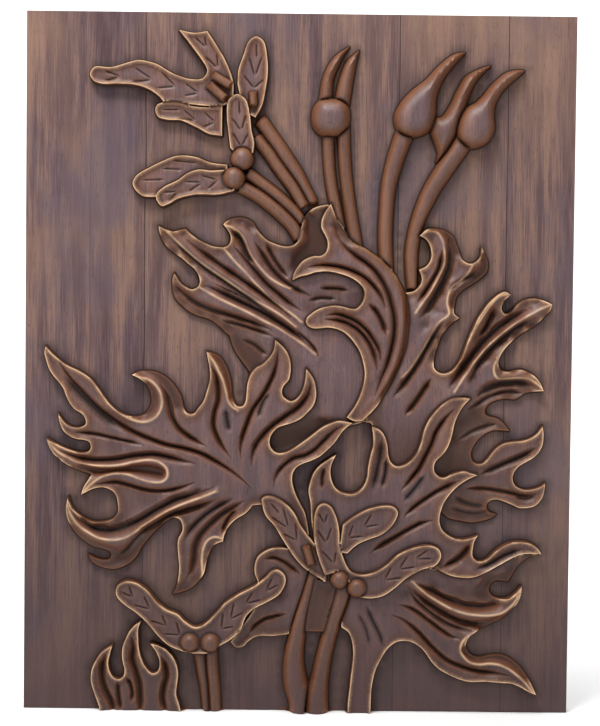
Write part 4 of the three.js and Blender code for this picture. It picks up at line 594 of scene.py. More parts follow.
leaf("left_leaf",
  """-277 18*, -270 10, -262 3, -252 -4, -243 -8, -234 -13, -226 -19, -219 -28, -213 -36, -206 -45,
   -198 -52, -189 -57, -180 -59, -170 -57, -164 -51, -161 -42, -163 -31, -168 -22, -174 -17,
   -182 -13*, -176 -10, -168 -9, -157 -10, -148 -14, -140 -20, -133 -29, -128 -38, -126 -47,
   -122 -54, -115 -55, -109 -48, -104 -41, -100 -29, -97 -15, -98 -2, -101 13*, -93 11, -86 7, -81 0,
   -77 -9, -74 -20, -73 -31, -71 -40, -67 -46, -61 -46, -58 -41, -57 -33, -56 -22, -53 -12, -47 -4,
   -40 0, -33 7, -28 15, -26 27*, -18 20, -12 12, -9 2, -9 -8, -11 -17, -16 -23, -18 -28, -17 -34,
   -13 -38, -8 -40, -3 -38, 2 -32, 5 -25, 7 -16, 8 -4*, 13 -10, 17 -17, 19 -26, 19 -36, 16 -45,
   11 -51, 4 -58, -5 -63, -14 -66, -22 -69, -28 -75, -31 -83, -30 -90, -26 -95, -20 -97, -12 -95,
   -3 -90, 7 -83, 16 -76, 25 -69, 34 -64, 44 -61, 60 -63*, 54 -67, 49 -72, 44 -79, 39 -86, 32 -93,
   24 -100, 14 -105, 6 -108, -1 -112, -5 -118, -6 -126, -4 -136, 0 -146, 4 -154, 8 -161, 12 -178,
   14 -194*, -10 -178*, -38 -154*, -49 -155*, -52 -159, -57 -164, -65 -169, -72 -175, -77 -182,
   -80 -189, -81 -195*, -87 -197, -92 -201, -96 -208, -99 -218, -102 -231, -109 -241, -117 -248,
   -127 -252, -136 -254*, -132 -246, -130 -236, -129 -224, -130 -212, -131 -200, -130 -192,
   -126 -184, -126 -177, -129 -171, -135 -169, -142 -172, -150 -179, -158 -187, -165 -195, -171 -203,
   -175 -211, -181 -218, -190 -224, -200 -227, -210 -226, -219 -223, -226 -218, -229 -211*,
   -221 -215, -213 -217, -206 -216, -204 -211, -207 -207, -213 -205, -222 -203, -231 -198, -240 -191,
   -247 -182, -251 -172, -253 -160, -251 -147*, -247 -158, -240 -166, -231 -172, -221 -175,
   -210 -174, -202 -171, -197 -164, -197 -155, -199 -146, -204 -140, -213 -137, -223 -138,
   -237 -145*, -234 -136, -229 -128, -226 -123*, -235 -120, -246 -116, -256 -110, -265 -103,
   -271 -94, -275 -83*, -267 -88, -257 -93, -246 -97, -236 -99, -229 -97, -227 -92, -229 -87,
   -235 -85, -243 -84, -250 -81, -257 -75, -261 -66, -263 -56*, -258 -63, -253 -68, -246 -71,
   -239 -71, -233 -68, -233 -62, -237 -56, -244 -52, -250 -45, -254 -37, -257 -29, -262 -22,
   -268 -15, -273 -7, -276 2, -278 10""", [
  """crest 12: -208 -44, -196 -54, -186 -60, -175 -64, -165 -64, -157 -60, -151 -52, -149 -42,
   -151 -32, -156 -24, -164 -18, -173 -16, -181 -13""",
  "crest 13: -100 12, -92 1, -87 -9, -82 -20, -79 -31, -77 -40, -72 -47, -66 -50",
  """crest 13: -275 -84, -262 -98, -250 -105, -235 -111, -215 -113, -195 -112, -178 -108, -162 -106,
   -150 -109, -143 -116, -143 -125, -149 -130, -160 -130, -172 -127, -186 -122, -200 -121, -214 -125,
   -226 -133, -236 -144""",
  """crest 15: -251 -149, -250 -160, -245 -171, -238 -179, -228 -186, -216 -192, -202 -194, -190 -192,
   -180 -187, -168 -178, -155 -169, -140 -160, -122 -152, -105 -146, -88 -139""",
  "crest 10: -103 -232, -104 -215, -102 -201, -97 -193, -90 -190, -81 -192",
  "floor 3: -184 -56, -172 -57, -163 -50, -161 -38, -166 -26",
  "floor 3: -92 12, -84 2, -78 -8, -75 -22, -72 -36",
  "floor 4: -180 -8, -166 -9, -150 -14, -137 -27, -130 -42",
  """floor 4: -248 -183, -238 -194, -226 -202, -212 -207, -200 -212, -186 -213, -174 -207, -164 -196,
   -150 -184""",
  "level 4: -262 -104, -245 -116, -232 -121, -98 -215, -94 -203, -120 -248, -106 -236, -130 -250",
  "floor 3: -236 -113, -215 -119, -195 -118, -175 -116, -158 -118, -151 -120",
  "level 10: -272 0, -258 -20, -245 -40, -232 -45",
  "level 9: -215 -60, -235 -35, -240 -20, -230 -70, -255 -66",
  "level 8: -225 -84, -200 -90, -240 -90, -265 -90",
  "level 12: -170 -72, -140 -70, -190 -80, -120 -60, -112 -68",
  "level 11: -105 -50, -95 -30, -88 -60, -75 -65",
  "level 13: -95 -85, -75 -95, -60 -110, -50 -70, -40 -55",
  "level 14: -45 -25, -35 -5, -25 18, -15 0, -20 -20",
  "level 14: -45 -85, -35 -100, -30 -115, -20 -50, 0 -45, 14 -25",
  "level 15: 0 -98, 25 -82, 45 -68, -15 -110, -15 -130",
  "level 13: -170 -95, -140 -98, -110 -103, -85 -118, -65 -130",
  "level 12: -130 -120, -100 -125, -90 -132, -60 -145",
  "level 8: -215 -140, -190 -140, -170 -145, -190 -158, -160 -150",
  "level 6: -235 -172, -215 -180, -195 -172",
  "level 10: -135 -145, -110 -138, -120 -165, -100 -162, -85 -155",
  "level 11: -120 -195, -122 -215, -125 -235",
  "level 9: -108 -200, -110 -220, -100 -185, -85 -178, -70 -163, -190 -205",
  "level 8: -5 -165, 5 -180, -45 -152",
  """cut 4.5 5: -264 4, -252 -15, -238 -31, -222 -47, -205 -60, -185 -73, -165 -82, -145 -89, -125 -93,
   -105 -99, -88 -108, -72 -118, -58 -129, -50 -137""",
  "cut 10 3: -258 -12, -243 -30, -225 -48, -208 -62, -190 -74",
  "cut 4 3: -245 -76, -225 -78, -205 -82, -185 -86, -168 -90",
  """cut 6 5: -262 -95, -245 -103, -225 -107, -200 -106, -180 -102, -160 -100, -140 -103, -125 -107,
   -110 -110""",
  "cut 5 5: -152 -22, -145 -34, -141 -48, -138 -60, -131 -71, -121 -79, -111 -85, -100 -91",
  "cut 4.5 5: -97 0, -91 -12, -88 -26, -88 -40, -92 -54, -93 -68, -89 -80, -82 -92, -73 -103",
  """cut 4.5 5: -23 16, -24 3, -28 -12, -34 -25, -42 -38, -50 -50, -56 -65, -61 -80, -63 -92, -62 -104""",
  "cut 6 5: 14 -18, 10 -33, 0 -46, -15 -57, -28 -67, -38 -77, -46 -88, -50 -100, -51 -112",
  """cut 5 4: 50 -65, 38 -73, 28 -83, 18 -93, 8 -99, -4 -102, -14 -109, -21 -117, -25 -126, -26 -134""",
  """cut 4 4: -222 -133, -200 -131, -185 -134, -170 -138, -155 -140, -140 -139, -125 -135, -112 -130""",
  """cut 9 6: -248 -160, -240 -172, -228 -180, -212 -185, -198 -184, -185 -179, -170 -171, -152 -160,
   -135 -151, -118 -145, -103 -140, -90 -135""",
  "cut 6 6: -182 -196, -168 -184, -155 -176, -140 -167, -120 -160, -105 -155, -90 -149",
  "cut 5 3: -200 -215, -188 -206, -178 -194, -166 -184",
  """cut 6 5: -57 -149, -70 -157, -85 -167, -98 -179, -107 -190, -112 -203, -113 -215, -116 -228,
   -122 -239""",
  "cut 7 3: -68 -146, -85 -155, -103 -168, -116 -181, -124 -196",
  "cut 4 4: -66 -160, -74 -168, -79 -177, -83 -187",
  "cut 8 2: -75 -75, -78 -60, -80 -48",
  "cut 7 2: -45 -60, -38 -40, -30 -30"])
leaf("front_leaf",
  """188 -35*, 178 -34, 168 -35, 158 -41, 149 -50, 142 -60, 137 -72, 134 -85, 130 -95, 123 -104,
   115 -109, 108 -110, 102 -106, 99 -98, 98 -88, 95 -78, 90 -71, 80 -66*, 82 -76, 82 -88, 79 -100,
   77 -111, 76 -122, 73 -131, 67 -138, 59 -141, 51 -140, 43 -136, 38 -128, 36 -118, 37 -109, 42 -98*,
   32 -104, 24 -110, 18 -117, 14 -127, 12 -138, 14 -150, 16 -175, 30 -240*, 70 -240*, 110 -216*,
   152 -222*, 160 -226, 170 -230, 183 -232, 195 -231, 205 -227, 218 -220, 230 -213, 240 -208,
   250 -205, 268 -205*, 265 -200, 259 -195, 250 -192, 240 -192, 231 -194, 222 -199, 215 -205,
   209 -211, 203 -214, 197 -213, 193 -208, 193 -200, 195 -191, 199 -185*, 191 -188, 182 -190,
   173 -189, 165 -185, 159 -179, 156 -170, 157 -160, 161 -149, 168 -139, 176 -131, 186 -124,
   197 -119*, 190 -117, 183 -115, 175 -116, 167 -119, 161 -122, 155 -121, 150 -116, 149 -110,
   151 -104, 158 -97, 164 -88, 168 -76, 171 -62, 176 -50, 182 -41""", [
  "level 15: 178 -38, 160 -50, 150 -62, 140 -90, 155 -90, 165 -65",
  "level 14: 125 -112, 105 -115, 92 -90, 85 -75, 145 -108",
  "level 13: 75 -150, 50 -150, 25 -130, 20 -145, 32 -112, 100 -145",
  "level 13: 155 -130, 180 -120, 165 -137",
  "level 13: 120 -135, 110 -160, 145 -150, 120 -180, 90 -200",
  "level 12: 145 -170, 150 -190, 175 -200, 190 -192",
  "level 14: 170 -222, 195 -225, 215 -214, 235 -204, 262 -203, 225 -203",
  "level 9: 165 -205, 180 -212, 145 -205",
  "cut 5 5: 171 -46, 160 -58, 151 -72, 146 -86, 140 -98, 133 -112, 124 -124, 113 -138",
  "cut 5 4: 178 -125, 165 -131, 152 -138, 140 -146, 128 -155, 116 -167",
  "cut 5 4: 150 -169, 135 -173, 120 -181, 108 -188, 94 -196, 80 -206",
  "cut 6 5: 191 -194, 184 -205, 174 -214, 160 -221",
  "cut 8 3: 92 -78, 90 -100, 86 -120, 82 -138",
  "cut 6 3: 97 -100, 96 -118, 92 -135",
  "cut 4 3: 29 -112, 27 -124, 27 -136",
  "cut 8 2.5: 250 -199, 230 -206, 212 -216, 196 -223",
  "cut 8 2: 140 -118, 128 -135, 115 -150"])
leaf("bract",
  """33 176*, 36 168, 42 155, 50 143, 60 134, 72 127, 85 119, 97 109, 105 98, 111 88, 116 78, 119 65,
   120 50, 119 35, 117 20, 113 8, 108 -5, 103 -16, 95 -30, 86 -44, 77 -54, 70 -61*, 61 -61, 53 -57*,
   58 -50, 63 -42, 68 -30, 71 -18, 72 -8, 70 3, 66 15, 59 26, 50 35, 42 39, 32 41, 22 40, 15 40,
   10 42, 7 47, 8 51, 12 55, 19 60, 28 63.5, 37 65, 47 64, 55 62, 62 62, 67 67, 70 74, 70 82, 66 88,
   60 93, 52 97, 42 100, 30 102, 18 101, 8 98, 0 96, -8 92*, -7 98, -3 106, 2 112, 8 116, 15 118.5,
   23 119, 28 123, 30 130, 29 137, 26 143, 23 149, 23 157, 26 165""", [
  "level 19: 30 110, 55 112, 75 100, 88 80, 95 55, 92 30, 78 60",
  "level 18: 30 160, 32 145, 40 130, 55 120",
  "level 16: 0 100, 15 112, 15 47, 35 55, 55 50, 75 30, 82 10, 80 -10",
  "level 14: 62 -50, 72 -35, 75 -55, 80 -30",
  """floor 5: 46 152, 58 140, 72 131, 86 122, 100 110, 110 97, 117 80, 120 60, 119 35, 114 10, 104 -12,
   92 -32""",
  "floor 16: 62 126, 78 117, 92 105, 103 90, 109 72, 111 50, 109 25, 102 -2, 92 -25, 82 -40",
  "cut 4 5: 8 106, 18 108.5, 30 109, 45 107, 60 102, 72 95, 82 85, 90 73, 94 61",
  """cut 5 5: 37 152, 42 140, 50 128, 60 120, 72 112, 82 103, 90 92, 97 78, 101 65, 104 50, 104 35,
   101 18, 96 0, 90 -15, 83 -35""",
  "cut 4.5 5: 28 54, 40 56, 52 53, 64 47, 74 38, 82 27, 88 15, 90 4",
  "cut 4.5 5: 27 50, 42 49, 54 45, 66 37, 76 25, 82 12, 86 -6",
  "cut 4.5 5: 75 68, 83 60, 90 48, 95 33"])
stem("trunk_stem_1", 2,
  "20 -228 14, 13 -255 15, 6 -275 15, 1 -300 18, -2 -325 22, 0 -350 26, 6 -370 27, 8 -394 28")
stem("trunk_stem_2", 3,
  """54 -238 17, 49 -258 17, 42 -280 16, 37 -298 16, 31 -322 17, 27 -345 19, 24 -365 24, 23 -394 27""")
leaf("stem_web",
  "20 -236*, 44 -240*, 39 -262, 30 -294*, 10 -294*, 13 -270", [
  "level 6: 30 -245, 20 -280, 25 -290"])
stem("trunk_stem_3", 2,
  "-107 -312 13, -103 -335 13, -99 -355 13, -94 -394 13")
stem("trunk_stem_4", 2.5,
  "-93 -312 13, -92 -335 13, -90 -355 13, -88 -394 12")
leaf("flame_leaf",
  """-213 -395*, -216 -378, -221 -364, -225 -350, -224 -337, -220 -328, -214 -319, -206 -313,
   -201 -310*, -204 -320, -206 -330, -204 -340, -200 -346, -194 -348, -189 -344, -188 -337,
   -190 -329, -191 -320, -190 -311, -187 -303, -183 -295, -177 -288, -170 -283*, -173 -292,
   -173 -303, -172 -315, -169 -326, -164 -335, -158 -341, -153 -340, -150 -335, -150 -327, -153 -318,
   -160 -308*, -151 -310, -143 -314, -136 -321, -131 -330, -129 -341, -130 -353, -131 -364,
   -128 -374, -123 -395*""", [
  "level 11: -215 -330, -222 -350, -215 -375, -203 -318",
  "level 12: -180 -300, -182 -320, -183 -335, -175 -290",
  "level 12: -150 -314, -136 -330, -134 -350, -136 -375",
  "level 10: -200 -355, -190 -370, -160 -350, -158 -375",
  "cut 6 5: -209 -320, -213 -335, -213 -348, -210 -360, -204 -372, -198 -390",
  "cut 4 3: -187 -345, -182 -354, -180 -363, -181 -374",
  "cut 6 5: -181 -300, -179 -312, -180 -326, -176 -340, -172 -355, -171 -370, -171 -392",
  "cut 6 5: -150 -320, -144 -333, -142 -345, -145 -358, -146 -370, -141 -390",
  "cut 5 3: -196 -350, -195 -366, -192 -384"])
wing("wing_7", 13,
  """-39 -151, -39 -147, -34 -144, -25 -145, -13 -152, -3 -163, 4 -176, 12 -187*, 35 -215*, 32 -238*,
   17 -229, 5 -220, -5 -208, -15 -193, -25 -177, -35 -165""", [
  "veins: -9 -180 -30 -166 -16 -155, 0 -193 -17 -185 -2 -171",
  "cut 2.4 1.6: -30 -151, -19 -164"])
wing("wing_9a", 17,
  """50 -174*, 62 -165, 77 -157, 93 -153, 105 -154, 110 -160, 107 -170, 100 -179, 90 -186, 79 -190,
   66 -196, 55 -206*, 46 -204*""", [
  "veins: 73 -177 82 -161 90 -174, 56 -189 62 -173 72 -187"])
wing("wing_8", 17,
  """31 -230*, 24 -212, 20 -197, 18 -180, 19 -163, 23 -154, 29 -151, 36 -154, 42 -164, 46 -180,
   47 -197, 52 -213, 59 -225, 71 -229, 85 -226, 98 -218, 110 -207, 127 -199, 144 -196, 155 -200,
   158 -208, 152 -218, 137 -223, 121 -232, 107 -244, 95 -252, 82 -255, 70 -254*, 56 -236*, 44 -226*""", [
  "veins: 30 -174 23 -161 33 -162, 32 -195 22 -180 38 -176, 41 -218 26 -202 43 -203",
  "veins: 130 -211 144 -201 149 -211, 112 -223 131 -220 122 -207, 96 -235 117 -232 104 -220"])
wing("wing_10", 15,
  """-198 -251, -196 -244, -187 -239, -175 -241, -163 -249, -152 -262, -142 -270, -130 -275, -120 -284,
   -110 -289, -100 -285, -87 -272, -78 -262, -65 -253, -45 -242, -34 -233, -27 -226, -20 -225,
   -13 -231, -12 -239, -19 -252, -33 -261, -46 -268, -55 -277, -60 -290, -70 -301, -83 -309*,
   -98 -318*, -113 -318*, -126 -315, -140 -309, -152 -298, -163 -285, -175 -274, -188 -265, -196 -257""", [
  """veins: -179 -257 -184 -243 -192 -251, -160 -270 -168 -254 -179 -265, -142 -288 -148 -274 -161 -282""",
  "veins: -127 -298 -132 -282 -146 -297, -34 -249 -19 -241 -26 -233, -56 -263 -37 -258 -47 -249",
  "veins: -72 -280 -57 -272 -68 -260, -82 -291 -68 -288 -80 -271"])
peg("peg_4", 15,
  "10 -199 8, 16 -219 8")
ball("ball_3", 11, -116.5, -306, 10.2)
ball("ball_4", 11, -94, -306, 10.2)
ball("ball_5", 13, 47, -235, 9.5)
ball("ball_6", 13, 66, -244, 10)


def front_map():
    """The index of the front motif over the sheet, or -1 on the sunk ground, on a fine grid of places."""
    field = np.full(MAP_SHAPE, -1, np.int16)
    for index, motif in enumerate(motifs):
        crossings = np.zeros(MAP_SHAPE, bool)
        spots = (motif["outline"] - MAP_CORNER) / MAP_CELL
        for (ax, az), (bx, bz) in zip(spots, np.roll(spots, -1, axis=0)):
            rows = np.arange(math.ceil(min(az, bz)), math.ceil(max(az, bz)))
            if len(rows):
                columns = np.ceil(ax + (rows - az) * (bx - ax) / (bz - az)).astype(int)
                crossings[rows, columns] ^= True
        field[np.logical_xor.accumulate(crossings, axis=1)] = index
    return field


fronts = front_map()


def front_motif(points):
    columns, rows = np.rint((points - MAP_CORNER) / MAP_CELL).astype(int).T
    return fronts[rows, columns]


def offset_rows(outline, distances):
    """Points beside the outline, inwards for positive distances."""
    tangent = np.roll(outline, -1, axis=0) - np.roll(outline, 1, axis=0)
    tangent /= np.maximum(np.linalg.norm(tangent, axis=1), 1e-9)[:, None]
    normal = np.column_stack([-tangent[:, 1], tangent[:, 0]])
    x, z = outline.T
    area = (x * np.roll(z, -1) - np.roll(x, -1) * z).sum()
    return [outline + normal * distance * math.copysign(1, area) for distance in distances]


def fill_grid(step):
    rows = []
    for k, z in enumerate(np.arange(-HALF_H + step / 2, HALF_H, step * 0.87)):
        x = np.arange(-HALF_W + step / (2 if k % 2 else 1), HALF_W, step)
        rows.append(np.column_stack([x, np.full(len(x), z)]))
    grid = np.vstack(rows)
    sway = np.column_stack([np.sin(grid[:, 0] * 1.7 + grid[:, 1]), np.cos(grid[:, 1] * 1.3 - grid[:, 0])])
    return grid + 0.08 * step * sway


def thinned(groups):
    """Keeps each group's points that stand clear of those before them."""
    taken = {}
    kept = []
    for points, reach in groups:
        for x, z in points:
            cell = (math.floor(x / 4), math.floor(z / 4))
            around = [(cell[0] + i, cell[1] + k) for i in (-1, 0, 1) for k in (-1, 0, 1)]
            if any((x - a) ** 2 + (z - b) ** 2 < reach**2 for key in around for a, b in taken.get(key, ())):
                continue
            taken.setdefault(cell, []).append((x, z))
            kept.append((x, z))
    return np.array(kept)


def sheet_points():
    edge = []
    for x in np.arange(-HALF_W, HALF_W + 0.1, EDGE_STEP):
        edge += [(x, -HALF_H), (x, HALF_H)]
    for z in np.arange(-HALF_H + EDGE_STEP, HALF_H - 1, EDGE_STEP):
        edge += [(-HALF_W, z), (HALF_W, z)]
    bottom = np.array([(x, -HALF_H) for x in np.arange(1 - HALF_W, HALF_W, 1.2)])
    edge_points = np.vstack([np.array(edge, float), bottom[front_motif(bottom) >= 0]])
    inner, outer, lines = [], [], []
    for index, motif in enumerate(motifs):
        arris, shoulder, foot, skirt = offset_rows(motif["outline"], ROW_INSETS)
        inner.append(arris[front_motif(arris) == index])
        outer.append(foot[front_motif(foot) < index])
        lines.append(shoulder[front_motif(shoulder) == index])
        lines.append(skirt[front_motif(skirt) < index])
        for stroke in motif["strokes"]:
            if stroke["kind"] == "level":
                continue
            route = smooth_run(stroke["route"], step=STROKE_STEP)[:, :2]
            spread = stroke["width"] * CUT_SPREAD if stroke["kind"] == "cut" else LINE_SPREAD
            for row in offset_rows(route, (0, spread / 2, -spread / 2, spread, -spread)):
                row = row[1:-1]
                lines.append(row[front_motif(row) == index])
    relief = fill_grid(RELIEF_STEP)
    relief = relief[front_motif(relief) >= 0]
    ground = fill_grid(GROUND_STEP)
    ground = ground[front_motif(ground) < 0]
    groups = [
        (edge_points, 0.3),
        (np.vstack(inner + outer), CLOSEST),
        (np.vstack(lines), 0.8),
        (relief, RELIEF_STEP * 0.45),
        (ground, GROUND_STEP * 0.4),
    ]
    clear = [groups[0]]
    for points, reach in groups[1:]:
        on_sheet = (np.abs(points[:, 0]) < HALF_W - 0.5) & (np.abs(points[:, 1]) < HALF_H - 0.5)
        clear.append((points[on_sheet], reach))
    return thinned(clear)


def carve(points):
    """The front motif, its rise, pale arris, dark recess, flat middle and low side at each point."""
    front = front_motif(points)
    rise, pale, dark, middle, under = (np.zeros(len(points)) for _ in range(5))
    for index, motif in enumerate(motifs):
        mine = np.flatnonzero(front == index)
        if len(mine):
            rim = nearest(points[mine], motif["outline"], closed=True)[0]
            rise[mine], cut, ridge = motif["height"](points[mine], rim)
            # Painted shade, deeper towards a cut's middle
            dark[mine] = smooth_step(grown(cut, CUT_DARK_BAND))
            middle[mine] = smooth_step(grown(rim, MIDDLE_BAND))
            if motif["kind"] in ("leaf", "wing"):
                arris = smooth_step(1.9 - rim / ARRIS_REACH)
                arris *= np.clip(grown(rise[mine], ARRIS_RISE_BAND), 0, 1)
                pale[mine] = np.maximum(CREST_RUB * smooth_step(ridge * 2.4 - 1.3), arris)
            if motif["kind"] == "leaf":
                # Painted shade where a leaf lies low
                under[mine] = np.clip(-grown(rise[mine], UNDER_BAND), 0, 1)
    return front, rise, pale, dark, middle, under


def wall_gap(points, front):
    """Distance from each point to the nearest wall that rises beside it."""
    walls = []
    for index, motif in enumerate(motifs):
        arris = offset_rows(motif["outline"], (ARRIS_INSET,))[0]
        walls += [(x, z, index) for x, z in arris[front_motif(arris) == index]]
    tree = KDTree(len(walls))
    for k, (x, z, _) in enumerate(walls):
        tree.insert((x, z, 0), k)
    tree.balance()
    gap = np.full(len(points), FOOT_REACH)
    for i, (x, z) in enumerate(points):
        near = [away for _, k, away in tree.find_range((x, z, 0), FOOT_REACH) if walls[k][2] > front[i]]
        gap[i] = min(near, default=FOOT_REACH)
    return gap


def build_mesh():
    points = sheet_points()
    front, rise, pale, dark, middle, under = carve(points)
    gap = wall_gap(points, front)
    _, _, faces, origins, _, _ = delaunay_2d_cdt([Vector(p) for p in points], [], [], 0, 1e-5)
    order = np.array([origin[0] for origin in origins])
    faces = np.array([face[:] for face in faces])
    points, rise, gap = points[order], rise[order], gap[order]
    looks = {"arris": pale[order], "recess": dark[order], "middle": middle[order], "under": under[order]}
    a, b, c = (points[faces[:, k]] for k in range(3))
    turned = (b[:, 0] - a[:, 0]) * (c[:, 1] - a[:, 1]) - (b[:, 1] - a[:, 1]) * (c[:, 0] - a[:, 0])
    faces = np.where(turned[:, None] < 0, faces[:, ::-1], faces)[np.abs(turned) > 1e-6]

    # An arris is rubbed pale where its wall is tall, and a wall's foot gets painted shade
    drop = np.zeros(len(points))
    bulge = np.zeros(len(points))
    links = np.zeros(len(points))
    for k in range(3):
        here, there = faces[:, k], faces[:, (k + 1) % 3]
        step = rise[here] - rise[there]
        np.maximum.at(drop, here, step)
        np.maximum.at(drop, there, -step)
        run = np.linalg.norm(points[here] - points[there], axis=1) + 0.5
        np.add.at(bulge, here, step / run)
        np.add.at(bulge, there, -step / run)
        np.add.at(links, here, 1)
        np.add.at(links, there, 1)
    tall = np.clip(grown(drop, ARRIS_DROP_BAND), 0, 1)
    looks["arris"] *= np.where(looks["arris"] > CREST_RUB, tall, 1)
    foot = np.clip(FOOT_DARK * (1 - gap / FOOT_REACH) ** FOOT_DARK_FADE, 0, 1)
    looks["recess"] = np.maximum(looks["recess"], foot)
    # The surface's bend: hollows get painted shade, swells a painted highlight
    looks["bulge"] = np.clip(0.5 + BULGE_GAIN * bulge / np.maximum(links, 1), 0, 1)
    return points, faces, rise, looks


def add_node(tree, kind, inputs, **settings):
    node = tree.nodes.new(kind)
    for key, value in settings.items():
        setattr(node, key, value)
    for key, value in inputs.items():
        socket = node.inputs[key]
        if isinstance(value, bpy.types.NodeSocket):
            tree.links.new(value, socket)
        else:
            socket.default_value = value
    return node


def maths(tree, operation, a, b=0.0, c=0.0):
    return add_node(tree, "ShaderNodeMath", {0: a, 1: b, 2: c}, operation=operation).outputs[0]


def mixed(tree, share, a, b):
    node = add_node(tree, "ShaderNodeMix", {0: share, 6: a, 7: b}, data_type="RGBA", clamp_factor=True)
    return node.outputs[2]


def noise(tree, place, stretch, detail, roughness=0.55, shift=(0, 0, 0)):
    """Noise in the panel's own coordinates, drawn out along its grain."""
    mapping = add_node(tree, "ShaderNodeMapping", {"Vector": place, "Scale": stretch, "Location": shift})
    made = add_node(
        tree,
        "ShaderNodeTexNoise",
        {"Vector": mapping.outputs[0], "Scale": 1.0, "Detail": detail, "Roughness": roughness},
    )
    return made.outputs["Fac"]


def ramp(tree, share, stops):
    node = add_node(tree, "ShaderNodeValToRGB", {0: share})
    elements = node.color_ramp.elements
    elements[0].position, elements[0].color = stops[0]
    elements[1].position, elements[1].color = stops[-1]
    for position, colour in stops[1:-1]:
        elements.new(position).color = colour
    return node.outputs[0]


def attribute(tree, name):
    return add_node(tree, "ShaderNodeAttribute", {}, attribute_name=name).outputs["Fac"]


def stained_wood():
    """Dark stained wood: pale on the rubbed arrises, orange on the carving's sides, and painted shade near
    black in the cuts and at the walls' feet.
    """
    material = bpy.data.materials.new("stained_wood")
    material.use_nodes = True
    tree = material.node_tree
    tree.nodes.clear()
    coordinates = add_node(tree, "ShaderNodeTexCoord", {})
    place = coordinates.outputs["Object"]
    x, _, z = add_node(tree, "ShaderNodeSeparateXYZ", {0: place}).outputs[:3]
    fine = noise(tree, place, (900, 900, 22), detail=5, roughness=0.6)
    broad = noise(tree, place, (70, 70, 5), detail=5, roughness=0.6)
    patch = noise(tree, place, (11, 11, 5), detail=3, shift=(3.1, 0, 1.7))
    pores = noise(tree, place, (1500, 1500, 90), detail=2, shift=(5, 0, 2))

    # Each plank's own tone, and the glue lines between them
    wander = maths(tree, "MULTIPLY_ADD", noise(tree, place, (1, 1, 6), detail=1), 0.004, -0.002)
    across = maths(tree, "ADD", x, wander)
    plank = 0.5
    glue = 0.0
    for edge, change, strength in PLANK_JOINTS:
        beyond = maths(tree, "GREATER_THAN", across, edge / 1000)
        plank = maths(tree, "MULTIPLY_ADD", beyond, change, plank)
        away = maths(tree, "ABSOLUTE", maths(tree, "SUBTRACT", across, edge / 1000))
        line = maths(tree, "MULTIPLY", maths(tree, "LESS_THAN", away, 0.0006), strength)
        glue = maths(tree, "MAXIMUM", glue, line)

    tone = maths(tree, "MULTIPLY_ADD", broad, 0.55, maths(tree, "MULTIPLY", fine, 0.45))
    ground = ramp(tree, tone, GROUND_TONES)
    patches = ramp(tree, patch, ((0.48, BLACK), (0.68, WHITE)))
    ground = mixed(tree, maths(tree, "MULTIPLY", patches, 0.5), ground, TAN)
    cloud = noise(tree, place, (13, 13, 7), detail=4, shift=(8.3, 0, 4.2))
    clouds = ramp(tree, cloud, ((0.5, BLACK), (0.66, WHITE)))
    ground = mixed(tree, maths(tree, "MULTIPLY", clouds, 0.6), ground, BLUED)
    lift = maths(tree, "SUBTRACT", plank, 0.5)
    ground = mixed(tree, maths(tree, "MAXIMUM", lift, 0.0), ground, TAN)
    ground = mixed(tree, maths(tree, "MAXIMUM", maths(tree, "MULTIPLY", lift, -1.0), 0.0), ground, UMBER)
    ground = mixed(tree, glue, ground, GLUE_AND_SHADE)
    carved = ramp(tree, tone, CARVED_TONES)
    carved = mixed(tree, maths(tree, "MULTIPLY", patch, 0.2), carved, TAN)
    streak = noise(tree, place, (45, 45, 14), detail=4, roughness=0.65, shift=(1, 4, 9))
    streak = ramp(tree, streak, ((0.5, BLACK), (0.68, WHITE)))
    carved = mixed(tree, maths(tree, "MULTIPLY", streak, 0.55), carved, WARM_LIGHT)
    warm = maths(tree, "MULTIPLY", maths(tree, "SUBTRACT", 1.0, attribute(tree, "middle")), 0.6)
    carved = mixed(tree, warm, carved, mixed(tree, broad, WARM_DARK, WARM_LIGHT))
    cool = maths(tree, "MULTIPLY", attribute(tree, "middle"), 0.3)
    carved = mixed(tree, cool, carved, SHEEN)

    height = attribute(tree, "rise")
    colour = mixed(tree, maths(tree, "MULTIPLY", height, 0.9), ground, carved)
    low = add_node(
        tree, "ShaderNodeMapRange", {"Value": z, "From Min": 0.0, "From Max": -0.36, "To Max": 0.78}
    ).outputs[0]
    colour = mixed(tree, low, colour, UMBER)
    # Painted shade, warm dark, on the leaves' low parts
    colour = mixed(tree, maths(tree, "MULTIPLY", attribute(tree, "under"), 0.9), colour, WARM_DARK)
    # Painted shade in the hollows and a painted highlight on the swells
    swell = maths(tree, "SUBTRACT", attribute(tree, "bulge"), 0.5)
    colour = mixed(tree, maths(tree, "MULTIPLY", swell, -1.5), colour, UMBER)
    colour = mixed(tree, maths(tree, "MULTIPLY", swell, 0.5), colour, PAINTED_HIGHLIGHT)
    steep = attribute(tree, "side")
    colour = mixed(tree, maths(tree, "MULTIPLY", steep, 0.85), colour, ORANGE)
    colour = mixed(tree, ramp(tree, pores, ((0.62, BLACK), (0.72, WHITE))), colour, UMBER)
    # Painted shade, near black, in the cuts and at the walls' feet
    colour = mixed(tree, maths(tree, "MULTIPLY", attribute(tree, "recess"), 0.97), colour, GLUE_AND_SHADE)
    wear = noise(tree, place, (60, 60, 60), detail=3, shift=(7, 2, 0))
    rubbed = maths(tree, "MULTIPLY", attribute(tree, "arris"), ramp(tree, wear, ((0.3, GREY), (0.55, WHITE))))
    # On a wall only its top edge is rubbed
    outward = add_node(tree, "ShaderNodeSeparateXYZ", {0: coordinates.outputs["Normal"]}).outputs[1]
    level = ramp(tree, maths(tree, "ABSOLUTE", outward), ((0.3, BLACK), (0.65, WHITE)))
    edge = maths(tree, "MAXIMUM", maths(tree, "MULTIPLY_ADD", rubbed, 3.0, -2.0), 0.0)
    rubbed = maths(tree, "MULTIPLY_ADD", level, maths(tree, "SUBTRACT", rubbed, edge), edge)
    colour = mixed(tree, maths(tree, "MULTIPLY", rubbed, 0.85), colour, PALE)

